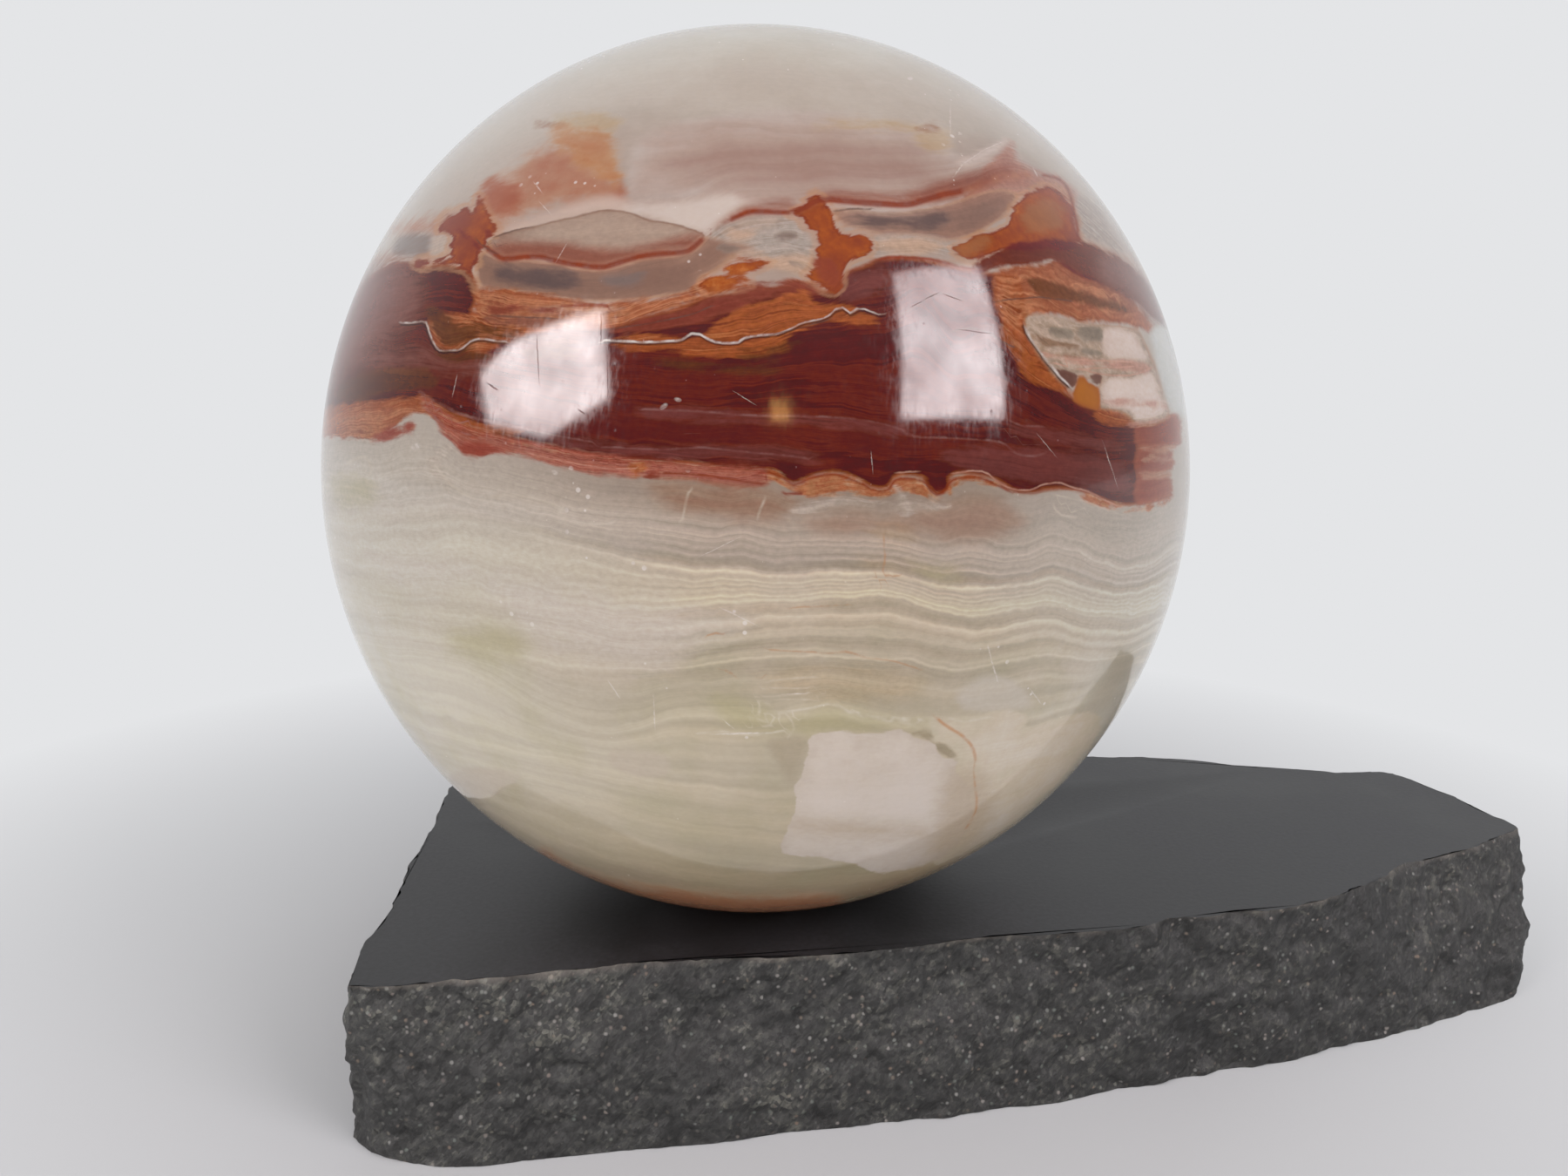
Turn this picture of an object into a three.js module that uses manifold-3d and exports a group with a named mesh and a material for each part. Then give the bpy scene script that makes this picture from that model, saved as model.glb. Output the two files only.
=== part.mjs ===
// Turned ball of banded onyx, resting in a shallow ground seat on an offcut of dark stone slab.
// Millimetres, Z up. The origin is on the slab's underside, straight below the ball.
// X runs along the slab, and the long broken face looks towards -Y.

import * as THREE from "three";
import { mergeVertices } from "three/addons/utils/BufferGeometryUtils.js";
import Module from "manifold-3d";

const wasm = await Module();
wasm.setup();

// Driving dimensions
const ball = { width: 100, height: 101.8, segments: 64, rows: 40 };
const slab = { thickness: 20, columns: 176, levels: 9 };
const seat = { depth: 1.2, gap: 0.3 };

// The slab's outline, anticlockwise from above: where the honed top face ends,
// and where the broken face under it meets the underside.
const outline = [
  { top: [-43.2, -30.6], foot: [-45.0, -28.2] }, // front left corner
  { top: [-40.5, -30.7], foot: [-41.5, -31.4] },
  { top: [-34.5, -30.0], foot: [-35.0, -32.9] },
  { top: [-28.5, -28.7], foot: [-28.0, -32.6] },
  { top: [-15.0, -26.2], foot: [-15.3, -30.2] },
  { top: [-5.3, -24.9], foot: [-3.0, -29.0] },
  { top: [4.5, -24.6], foot: [3.5, -27.6] },
  { top: [17.8, -22.5], foot: [13.0, -26.3] },
  { top: [22.7, -20.8], foot: [23.0, -24.6] },
  { top: [34.0, -19.6], foot: [33.0, -22.7] },
  { top: [41.5, -18.8], foot: [42.0, -20.4] },
  { top: [49.2, -15.9], foot: [50.0, -18.2] },
  { top: [64.0, -13.6], foot: [65.4, -14.3] },
  { top: [69.8, -11.1], foot: [71.4, -12.0] },
  { top: [76.7, -7.0], foot: [78.8, -10.0] },
  { top: [84.4, -1.6], foot: [86.5, -7.2] },
  { top: [94.6, 2.6], foot: [95.1, -3.4] },
  { top: [103.0, 7.7], foot: [101.0, -1.2] },
  { top: [106.4, 9.2], foot: [103.0, 0.2] }, // right corner
  { top: [106.2, 12.1], foot: [105.5, 9.0] },
  { top: [104.4, 19.4], foot: [105.0, 18.0] },
  { top: [102.1, 25.6], foot: [102.5, 25.5] },
  { top: [99.8, 31.3], foot: [100.5, 32.5] }, // back right corner
  { top: [89.8, 31.4], foot: [90.5, 33.4] },
  { top: [78.2, 33.4], foot: [78.5, 35.0] },
  { top: [67.2, 37.6], foot: [67.5, 38.6] },
  { top: [54.3, 38.1], foot: [54.0, 40.0] },
  { top: [38.0, 38.8], foot: [38.5, 40.4] },
  { top: [20.0, 37.2], foot: [20.0, 39.5] },
  { top: [2.0, 36.0], foot: [1.5, 37.5] },
  { top: [-16.0, 34.6], foot: [-16.0, 36.6] },
  { top: [-32.0, 35.6], foot: [-33.0, 36.4] },
  { top: [-44.5, 33.0], foot: [-46.0, 33.5] }, // back left corner
  { top: [-48.4, 24.9], foot: [-48.6, 26.0] },
  { top: [-46.2, 10.6], foot: [-47.6, 10.0] },
  { top: [-45.9, -1.6], foot: [-47.0, -2.0] },
  { top: [-44.2, -12.7], foot: [-45.8, -12.0] },
  { top: [-44.5, -21.7], foot: [-46.0, -20.0] },
  { top: [-43.9, -28.0], foot: [-45.6, -25.5] },
];

// How the stone broke: lumps of each size, in from or out of the plain face.
// A share of each lump is kept at the top rim and at the foot.
const lumps = [
  { size: 17, height: 1.3, atRim: 0.1 },
  { size: 7, height: 0.9, atRim: 0.3 },
  { size: 3.6, height: 0.6, atRim: 0.5 },
];
const belly = 0.7; // how far the broken face swells at half height

// Smooth repeatable noise from -1 to 1, one value at each whole-number point of space.
function latticeValue(x, y, z) {
  const mixed = Math.sin(x * 127.1 + y * 311.7 + z * 74.7) * 43758.5453;
  return 2 * (mixed - Math.floor(mixed)) - 1;
}

function noise(x, y, z) {
  const [x0, y0, z0] = [Math.floor(x), Math.floor(y), Math.floor(z)];
  const ease = (t) => t * t * (3 - 2 * t);
  const [u, v, w] = [ease(x - x0), ease(y - y0), ease(z - z0)];
  const alongX = (dy, dz) =>
    THREE.MathUtils.lerp(
      latticeValue(x0, y0 + dy, z0 + dz),
      latticeValue(x0 + 1, y0 + dy, z0 + dz),
      u,
    );
  const alongY = (dz) => THREE.MathUtils.lerp(alongX(0, dz), alongX(1, dz), v);
  return THREE.MathUtils.lerp(alongY(0), alongY(1), w);
}

// A closed geometry as a solid, for joining and cutting.
function solidFrom(geometry) {
  const bare = geometry.clone();
  bare.deleteAttribute("normal");
  bare.deleteAttribute("uv");
  const merged = mergeVertices(bare, 1e-4);
  return new wasm.Manifold(
    new wasm.Mesh({
      numProp: 3,
      vertProperties: new Float32Array(merged.attributes.position.array),
      triVerts: new Uint32Array(merged.index.array),
    }),
  );
}

function geometryFrom(solid) {
  const mesh = solid.getMesh();
  const geometry = new THREE.BufferGeometry();
  geometry.setAttribute("position", new THREE.BufferAttribute(mesh.vertProperties, 3));
  geometry.setIndex(new THREE.BufferAttribute(mesh.triVerts, 1));
  geometry.computeVertexNormals();
  return geometry;
}

const ballCentre = slab.thickness - seat.depth + ball.height / 2;

// The ball is a little taller than it is wide, as a hand-turned one is.
function ballGeometry(extra) {
  const geometry = new THREE.SphereGeometry(1, ball.segments, ball.rows);
  geometry.rotateX(Math.PI / 2);
  const across = ball.width / 2 + extra;
  return geometry.scale(across, across, ball.height / 2 + extra);
}

// Points spaced evenly round the outline, each with its place on the top and at the foot.
function stations(count) {
  const corners = outline.map(({ top, foot }) => ({
    top: new THREE.Vector2(...top),
    foot: new THREE.Vector2(...foot),
  }));
  const lengths = corners.map((c, i) => c.top.distanceTo(corners[(i + 1) % corners.length].top));
  const round = lengths.reduce((sum, length) => sum + length, 0);
  let corner = 0;
  let passed = 0;
  return Array.from({ length: count }, (_, i) => {
    const along = (round * i) / count;
    while (along > passed + lengths[corner]) {
      passed += lengths[corner];
      corner += 1;
    }
    const share = (along - passed) / lengths[corner];
    const next = corners[(corner + 1) % corners.length];
    return {
      top: corners[corner].top.clone().lerp(next.top, share),
      foot: corners[corner].foot.clone().lerp(next.foot, share),
    };
  });
}

// One point of the broken face, at a share of the slab's height.
function brokenPoint(station, outward, share) {
  const plain = station.foot.clone().lerp(station.top, share);
  const z = slab.thickness * share;
  const middle = Math.sin(Math.PI * share);
  let push = belly * middle;
  lumps.forEach(({ size, height, atRim }, layer) => {
    const lump = noise(plain.x / size + 7 * layer, plain.y / size, z / size + 3 * layer);
    push += height * lump * (atRim + (1 - atRim) * middle);
  });
  return new THREE.Vector3(plain.x + outward.x * push, plain.y + outward.y * push, z);
}

// The slab: flat underside and honed top, with the broken face running round between them.
function slabGeometry() {
  const around = stations(slab.columns);
  const rings = [];
  for (let level = 0; level <= slab.levels; level += 1) {
    const share = level / slab.levels;
    rings.push(
      around.map((station, i) => {
        const before = around.at(i - 1).top;
        const after = around[(i + 1) % slab.columns].top;
        const outward = new THREE.Vector2(after.y - before.y, before.x - after.x).normalize();
        return brokenPoint(station, outward, share);
      }),
    );
  }
  const index = [];
  for (let level = 0; level < slab.levels; level += 1) {
    for (let i = 0; i < slab.columns; i += 1) {
      const next = (i + 1) % slab.columns;
      const [low, high] = [level * slab.columns, (level + 1) * slab.columns];
      index.push(low + i, low + next, high + next, low + i, high + next, high + i);
    }
  }
  const flat = (ring) => ring.map((p) => new THREE.Vector2(p.x, p.y));
  const crown = slab.levels * slab.columns;
  for (const [a, b, c] of THREE.ShapeUtils.triangulateShape(flat(rings.at(-1)), [])) {
    index.push(crown + a, crown + b, crown + c);
  }
  for (const [a, b, c] of THREE.ShapeUtils.triangulateShape(flat(rings[0]), [])) {
    index.push(c, b, a);
  }
  const geometry = new THREE.BufferGeometry();
  geometry.setFromPoints(rings.flat());
  geometry.setIndex(index);
  return geometry;
}

// The seat is ground to the ball's own curve, and the ball keeps a hair's clearance in it.
function seatedSlabGeometry() {
  const grinder = ballGeometry(seat.gap).translate(0, 0, ballCentre);
  return geometryFrom(solidFrom(slabGeometry()).subtract(solidFrom(grinder)));
}

const onyx = new THREE.MeshStandardMaterial({ color: "#b3a592", roughness: 0.12, metalness: 0 });
const darkStone = new THREE.MeshStandardMaterial({ color: "#45464a", roughness: 0.7, metalness: 0 });

const onyxBall = new THREE.Mesh(ballGeometry(0), onyx);
onyxBall.name = "onyx_ball";
onyxBall.position.z = ballCentre;

const standSlab = new THREE.Mesh(seatedSlabGeometry(), darkStone);
standSlab.name = "stand_slab";

const ballOnStand = new THREE.Group();
ballOnStand.name = "onyx_ball_on_stand";
ballOnStand.add(standSlab, onyxBall);

export default ballOnStand;
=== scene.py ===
# Turned ball of banded onyx, resting in its seat on an offcut of dark stone slab.
# Metres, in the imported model's own frame. Marks on the ball are placed by where the photograph shows them.

import math

import bpy
import numpy as np
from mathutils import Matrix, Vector, noise


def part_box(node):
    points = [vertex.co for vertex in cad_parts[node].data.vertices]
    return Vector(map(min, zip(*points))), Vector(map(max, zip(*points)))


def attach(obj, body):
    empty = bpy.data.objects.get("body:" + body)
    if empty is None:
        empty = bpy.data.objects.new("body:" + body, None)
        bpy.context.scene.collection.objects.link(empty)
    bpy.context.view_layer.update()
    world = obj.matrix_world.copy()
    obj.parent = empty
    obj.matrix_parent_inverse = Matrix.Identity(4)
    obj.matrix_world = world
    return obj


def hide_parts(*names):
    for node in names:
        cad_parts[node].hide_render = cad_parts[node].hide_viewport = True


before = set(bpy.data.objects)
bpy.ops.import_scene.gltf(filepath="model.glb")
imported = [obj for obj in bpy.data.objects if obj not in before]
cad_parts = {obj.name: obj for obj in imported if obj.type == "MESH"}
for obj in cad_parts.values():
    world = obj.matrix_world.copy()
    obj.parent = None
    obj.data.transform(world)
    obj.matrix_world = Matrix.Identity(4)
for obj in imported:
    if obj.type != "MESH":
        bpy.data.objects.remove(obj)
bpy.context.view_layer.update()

mm = 0.001  # one millimetre in metres

ballLow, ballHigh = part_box("onyx_ball")
ballCentre = (ballLow + ballHigh) / 2
ballRadii = (ballHigh - ballLow) / 2
slabLow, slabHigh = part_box("stand_slab")

# The photograph's view
photoView = {
    "width": 1800,  # px
    "height": 1350,
    "focal": 26.0,  # mm of lens, on a sensor this wide
    "sensor": 36.0,
    "place": (0.003066, -0.139184, 0.086243),
    "pitch": 12.0,  # degrees down from level, looking along +Y
    "clip": 10 * mm,  # nothing is nearer than this
}

# The room: two windows and a lamp that the ball mirrors, soft light from above, pale cloth and backdrop
studio = {
    "distance": 0.9,  # m from the ball to each window
    "windows": [  # pane: the corners of its reflection, px in the photograph; edge: how soft it is, m
        {"name": "windowLeft", "glow": 12.8, "low": 0.75, "edge": 0.018, "colour": "#fff8f8",
         "pane": [(552, 430), (589, 393), (694, 356), (700, 456), (628, 503), (561, 486)]},
        {"name": "windowRight", "glow": 9.6, "low": 1.3, "edge": 0.012, "colour": "#fff8fa",
         "pane": [(1024, 314), (1123, 306), (1152, 482), (1034, 481)]},
        {"name": "lamp", "glow": 5.0, "low": 1.0, "edge": 0.008, "colour": "#ffc070",
         "pane": [(884, 458), (907, 458), (907, 484), (884, 484)]},
    ],
    "curtain": {"scale": 6, "cloth": (0.35, 0.65), "lets through": (0.6, 1.2)},
    "soft": {"name": "softAbove", "elevation": 30, "distance": 1.2, "size": 1.3, "power": 9.5},
    "backdrop": "#e4e5e7",
    "cloth": "#b4b5b7",
    "daylight": (0.97, 0.98, 1, 1),
    "frontWall": 0.16,
    "backWall": 0.75,
    "wallTurns": (-0.3, 0.8),  # along Y, from front to back
    "ceiling": 0.35,
    "ceilingFrom": (0.15, 0.9),  # up Z
    "floorSize": 40,
    "floorDrop": 0.1 * mm,  # under the slab, so that their faces don't flicker
    "clothFades": (0.055, 0.19),  # m from the ball: cloth turns into the even backdrop
}


def linear(hexColour):
    # sRGB hex to the linear colour that a node takes
    parts = [int(hexColour[i:i + 2], 16) / 255 for i in (1, 3, 5)]
    return (*[c / 12.92 if c <= 0.04045 else ((c + 0.055) / 1.055) ** 2.4 for c in parts], 1)


def addNode(tree, kind, into=None, stops=None, **settings):
    # adds a node with its settings; into gives each input its value or the output that feeds it
    node = tree.nodes.new(kind)
    for name, value in settings.items():
        setattr(node, name, value)
    for key, source in (into or {}).items():
        enabled = [s for s in node.inputs if s.enabled]
        socket = enabled[key] if isinstance(key, int) else next(s for s in enabled if s.name == key)
        if isinstance(source, bpy.types.NodeSocket):
            tree.links.new(source, socket)
        else:
            socket.default_value = source
    if stops:
        ramp = node.color_ramp
        while len(ramp.elements) < len(stops):
            ramp.elements.new(0.5)
        for element, (place, colour) in zip(ramp.elements, stops):
            element.position = place
            element.color = linear(colour) if isinstance(colour, str) else (*colour, 1)
    return next((s for s in node.outputs if s.enabled), None)


def newTree(name):
    material = bpy.data.materials.new(name)
    material.use_nodes = True
    material.node_tree.nodes.clear()
    return material, material.node_tree


def placeCamera():
    pitch = math.radians(90 - photoView["pitch"])
    bpy.ops.object.camera_add(location=photoView["place"], rotation=(pitch, 0, 0))
    camera = bpy.context.object
    camera.name = "camera"
    camera.data.lens = photoView["focal"]
    camera.data.sensor_width = photoView["sensor"]
    camera.data.clip_start = photoView["clip"]
    bpy.context.scene.camera = camera


def mirrored(spot):
    # where the line of sight through a px of the photograph meets the ball, and which way it goes on
    pitch = math.radians(photoView["pitch"])
    focalPx = photoView["focal"] / photoView["sensor"] * photoView["width"]
    across = (spot[0] - photoView["width"] / 2) / focalPx
    down = (spot[1] - photoView["height"] / 2) / focalPx
    ahead = math.cos(pitch) - down * math.sin(pitch)
    rise = -math.sin(pitch) - down * math.cos(pitch)
    sight = Vector((across, ahead, rise))
    sight.normalize()
    eye = Vector(photoView["place"]) - ballCentre
    scaledEye = Vector(e / r for e, r in zip(eye, ballRadii))
    scaledSight = Vector(s / r for s, r in zip(sight, ballRadii))
    a = scaledSight.length_squared
    b = 2 * scaledEye.dot(scaledSight)
    c = scaledEye.length_squared - 1
    touch = eye + sight * (-b - math.sqrt(b * b - 4 * a * c)) / (2 * a)
    normal = Vector(t / r**2 for t, r in zip(touch, ballRadii)).normalized()
    return touch, sight - 2 * sight.dot(normal) * normal


def placeWindow(window):
    # a flat pane facing the ball, shaped so that its reflection falls where the photograph shows it
    sights = [mirrored(spot) for spot in window["pane"]]
    way = sum((onward for touch, onward in sights), Vector()).normalized()
    place = way * studio["distance"]
    turn = (-way).to_track_quat("-Z", "Y")
    corners = []
    for touch, onward in sights:
        reach = (studio["distance"] - touch.dot(way)) / onward.dot(way)
        corners.append(turn.inverted() @ (touch + onward * reach - place))
    width = 2 * max(abs(corner.x) for corner in corners)
    height = 2 * max(abs(corner.y) for corner in corners)
    bpy.ops.object.light_add(type="AREA", location=ballCentre + place)
    light = bpy.context.object
    light.name = window["name"]
    light.rotation_euler = turn.to_euler()
    light.visible_camera = False
    light.data.shape = "RECTANGLE"
    light.data.size, light.data.size_y = width, height
    light.data.energy = window["glow"] * math.pi * width * height
    light.data.use_nodes = True
    glazePane(light.data.node_tree, corners, (width, height, 0), window)


def glazePane(tree, corners, size, window):
    # dark outside the pane's edges, brighter or dimmer towards the bottom, uneven as through a curtain
    tree.nodes.clear()
    surface = addNode(tree, "ShaderNodeNewGeometry").node.outputs["Parametric"]
    place = addNode(tree, "ShaderNodeVectorMath", {0: surface, 1: size, 2: [-s / 2 for s in size]},
                    operation="MULTIPLY_ADD")
    middle = sum(corners, Vector()) / len(corners)
    height = addNode(tree, "ShaderNodeSeparateXYZ", {0: place}).node.outputs["Y"]
    glow = addNode(tree, "ShaderNodeMapRange", {
        "Value": height, "From Min": min(c.y for c in corners), "From Max": max(c.y for c in corners),
        "To Min": window["low"], "To Max": 2 - window["low"]})
    for start, end in zip(corners, corners[1:] + corners[:1]):
        inward = Vector((start.y - end.y, end.x - start.x, 0)).normalized()
        if inward.dot(middle - start) < 0:
            inward = -inward
        within = addNode(tree, "ShaderNodeVectorMath", {0: place, 1: inward},
                         operation="DOT_PRODUCT").node.outputs["Value"]
        lit = addNode(tree, "ShaderNodeMapRange", {
            "Value": within, "From Min": inward.dot(start) - window["edge"],
            "From Max": inward.dot(start) + window["edge"]}, interpolation_type="SMOOTHSTEP")
        glow = addNode(tree, "ShaderNodeMath", {0: glow, 1: lit}, operation="MULTIPLY")
    thin, thick = studio["curtain"]["cloth"]
    dim, bright = studio["curtain"]["lets through"]
    curtain = addNode(tree, "ShaderNodeTexNoise", {
        "Vector": place, "Scale": studio["curtain"]["scale"], "Detail": 3, "Roughness": 0.6})
    curtain = addNode(tree, "ShaderNodeMapRange", {
        "Value": curtain, "From Min": thin, "From Max": thick, "To Min": dim, "To Max": bright})
    glow = addNode(tree, "ShaderNodeMath", {0: glow, 1: curtain}, operation="MULTIPLY")
    light = addNode(tree, "ShaderNodeEmission", {"Color": linear(window["colour"]), "Strength": glow})
    addNode(tree, "ShaderNodeOutputLight", {0: light})


def placeSoftLight(soft):
    # even light on everything, which the polish doesn't mirror
    rise = math.radians(soft["elevation"])
    way = Vector((0, -math.cos(rise), math.sin(rise)))
    bpy.ops.object.light_add(type="AREA", location=ballCentre + way * soft["distance"])
    light = bpy.context.object
    light.name = soft["name"]
    light.rotation_euler = (-way).to_track_quat("-Z", "Y").to_euler()
    light.data.shape = "SQUARE"
    light.data.size = soft["size"]
    light.data.energy = soft["power"]
    light.visible_camera = False
    light.visible_glossy = False


def makeRoom():
    # dim in front so that the polish stays clear, bright behind so that the rims whiten
    world = bpy.data.worlds.new("room")
    bpy.context.scene.world = world
    world.use_nodes = True
    tree = world.node_tree
    tree.nodes.clear()
    way = addNode(tree, "ShaderNodeTexCoord")
    axes = addNode(tree, "ShaderNodeSeparateXYZ", {0: way.node.outputs["Generated"]}).node.outputs
    front, back = studio["wallTurns"]
    wall = addNode(tree, "ShaderNodeMapRange", {
        "Value": axes["Y"], "From Min": front, "From Max": back,
        "To Min": studio["frontWall"], "To Max": studio["backWall"]}, interpolation_type="SMOOTHSTEP")
    low, high = studio["ceilingFrom"]
    above = addNode(tree, "ShaderNodeMapRange", {
        "Value": axes["Z"], "From Min": low, "From Max": high,
        "To Min": 0.0, "To Max": studio["ceiling"]}, interpolation_type="SMOOTHSTEP")
    glow = addNode(tree, "ShaderNodeMath", {0: wall, 1: above}, operation="MAXIMUM")
    lit = addNode(tree, "ShaderNodeBackground", {"Color": studio["daylight"], "Strength": glow})
    seen = addNode(tree, "ShaderNodeBackground", {"Color": linear(studio["backdrop"]), "Strength": 1})
    ray = addNode(tree, "ShaderNodeLightPath").node.outputs["Is Camera Ray"]
    both = addNode(tree, "ShaderNodeMixShader", {0: ray, 1: lit, 2: seen})
    addNode(tree, "ShaderNodeOutputWorld", {0: both})


def makeFloor():
    # white cloth near the object, which turns into the even backdrop further away
    bpy.ops.mesh.primitive_plane_add(size=studio["floorSize"], location=(0, 0, -studio["floorDrop"]))
    floor = bpy.context.object
    floor.name = "floor"
    bpy.ops.object.transform_apply(location=True, rotation=True, scale=True)
    material, tree = newTree("whiteCloth")
    place = addNode(tree, "ShaderNodeTexCoord").node.outputs["Object"]
    away = addNode(tree, "ShaderNodeVectorMath", {0: place}, operation="LENGTH").node.outputs["Value"]
    near, far = studio["clothFades"]
    even = addNode(tree, "ShaderNodeMapRange", {"Value": away, "From Min": near, "From Max": far})
    cloth = addNode(tree, "ShaderNodeBsdfDiffuse", {"Color": linear(studio["cloth"])})
    backdrop = addNode(tree, "ShaderNodeEmission", {"Color": linear(studio["backdrop"]), "Strength": 1})
    both = addNode(tree, "ShaderNodeMixShader", {0: even, 1: cloth, 2: backdrop})
    addNode(tree, "ShaderNodeOutputMaterial", {0: both})
    floor.data.materials.append(material)


# The onyx ball

ball = {
    "subdivisions": 7,
    "seenTo": 69,  # degrees of azimuth either side of the camera that the photograph shows
    "meetsAt": -12,  # what the two sides have in common where they meet at the back
    "reach": 60,  # px that a mark's depth is worked out to, either side of its edge
    "lineReach": 13,  # px either side of a line
    "localShrink": 30,  # px by which a mark of the front alone draws in round the back
    "goesBehind": (-3, 45),  # degrees past "seenTo" over which a place comes to count as behind
    "linesFade": 0.7,  # how much of a line is lost behind
    # how the marks are bent behind: px, size of the bends in m, seed
    "bendsAcross": [(70, 0.025, 2), (12, 0.006, 5)],
    "bendsUp": [(45, 0.03, 8), (8, 0.007, 11)],
    "levelGap": 2,  # px that two levels keep between them
    "topSpread": 0.8,  # levels to a px above the first one
}

# Levels through the stone, numbered by their height in the photograph in the middle of the ball.
# Each is followed from left to right, and lists the x,y places it passes through.
bedding = {
    20: [366,420, 400,330, 500,150, 650,60, 870,22, 1090,60, 1240,150, 1340,330, 1366,420],
    140: [366,440, 400,360, 440,290, 500,215, 550,180, 613,137, 700,130, 800,130, 940,143, 1080,147,
          1160,165, 1225,210, 1300,290, 1345,380],
    260: [370,450, 420,330, 500,300, 559,285, 600,297, 688,306, 728,296, 782,288, 834,249, 925,235,
          954,229, 1040,233, 1115,213, 1155,195, 1230,230, 1300,300, 1350,385],
    340: [370,460, 400,400, 455,370, 520,358, 560,372, 640,372, 700,378, 740,362, 807,340, 901,326,
          954,333, 973,310, 1016,296, 1048,296, 1115,308, 1200,302, 1235,320, 1336,371, 1355,400],
    385: [366,470, 380,425, 458,385, 487,380, 509,400, 546,389, 578,391, 661,400, 750,392, 825,393,
          885,384, 930,370, 1015,361, 1061,345, 1088,382, 1142,382, 1180,420, 1228,455, 1300,480,
          1345,470],
    480: [366,480, 400,440, 500,430, 748,475, 870,478, 967,482, 1039,497, 1150,505, 1260,520, 1345,515],
    520: [366,490, 416,468, 484,462, 525,478, 560,487, 640,505, 760,516, 870,520, 960,530, 1100,535,
          1210,548, 1260,555, 1345,545],
    557: [366,507, 395,500, 426,505, 465,497, 495,490, 530,512, 572,518, 605,525, 671,541, 739,550,
          797,548, 836,557, 884,557, 911,566, 957,557, 1003,564, 1059,557, 1080,568, 1110,555, 1141,557,
          1180,570, 1206,566, 1240,567, 1271,579, 1303,582, 1345,572],
    615: [370,545, 430,550, 470,545, 500,545, 540,562, 600,575, 665,595, 740,602, 820,611, 858,605,
          900,617, 940,617, 1040,622, 1085,633, 1110,631, 1160,636, 1212,624, 1262,642, 1285,649,
          1310,647, 1340,632, 1362,620],
    660: [370,600, 400,606, 450,612, 500,602, 540,602, 580,609, 660,630, 740,647, 800,655, 860,659,
          880,663, 920,659, 980,656, 1040,662, 1070,672, 1100,676, 1170,674, 1203,665, 1240,674,
          1300,683, 1340,668, 1360,655],
    688: [370,640, 400,652, 450,664, 520,665, 560,675, 640,690, 700,694, 880,688, 980,682, 1040,687,
          1080,698, 1140,703, 1200,694, 1280,709, 1320,703, 1355,690],
    720: [380,680, 450,700, 560,706, 640,720, 710,735, 756,735, 880,723, 960,719, 1040,724, 1140,736,
          1200,722, 1262,737, 1300,732, 1350,705],
    752: [385,720, 560,745, 700,768, 780,766, 845,754, 880,755, 950,751, 1040,757, 1080,767, 1130,764,
          1200,749, 1262,757, 1345,730],
    815: [400,745, 560,775, 640,825, 700,838, 770,818, 830,816, 900,818, 950,810, 1030,824, 1140,825,
          1310,780],
    890: [420,800, 480,830, 600,862, 700,880, 800,897, 940,905, 1140,890, 1260,850],
    955: [480,865, 560,890, 680,920, 760,942, 860,958, 1060,965, 1140,950, 1230,900],
    1020: [560,940, 640,985, 760,1015, 860,1025, 960,1020, 1060,1000, 1160,950],
    1070: [600,1000, 700,1050, 860,1075, 1000,1060, 1120,1010],
}

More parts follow.
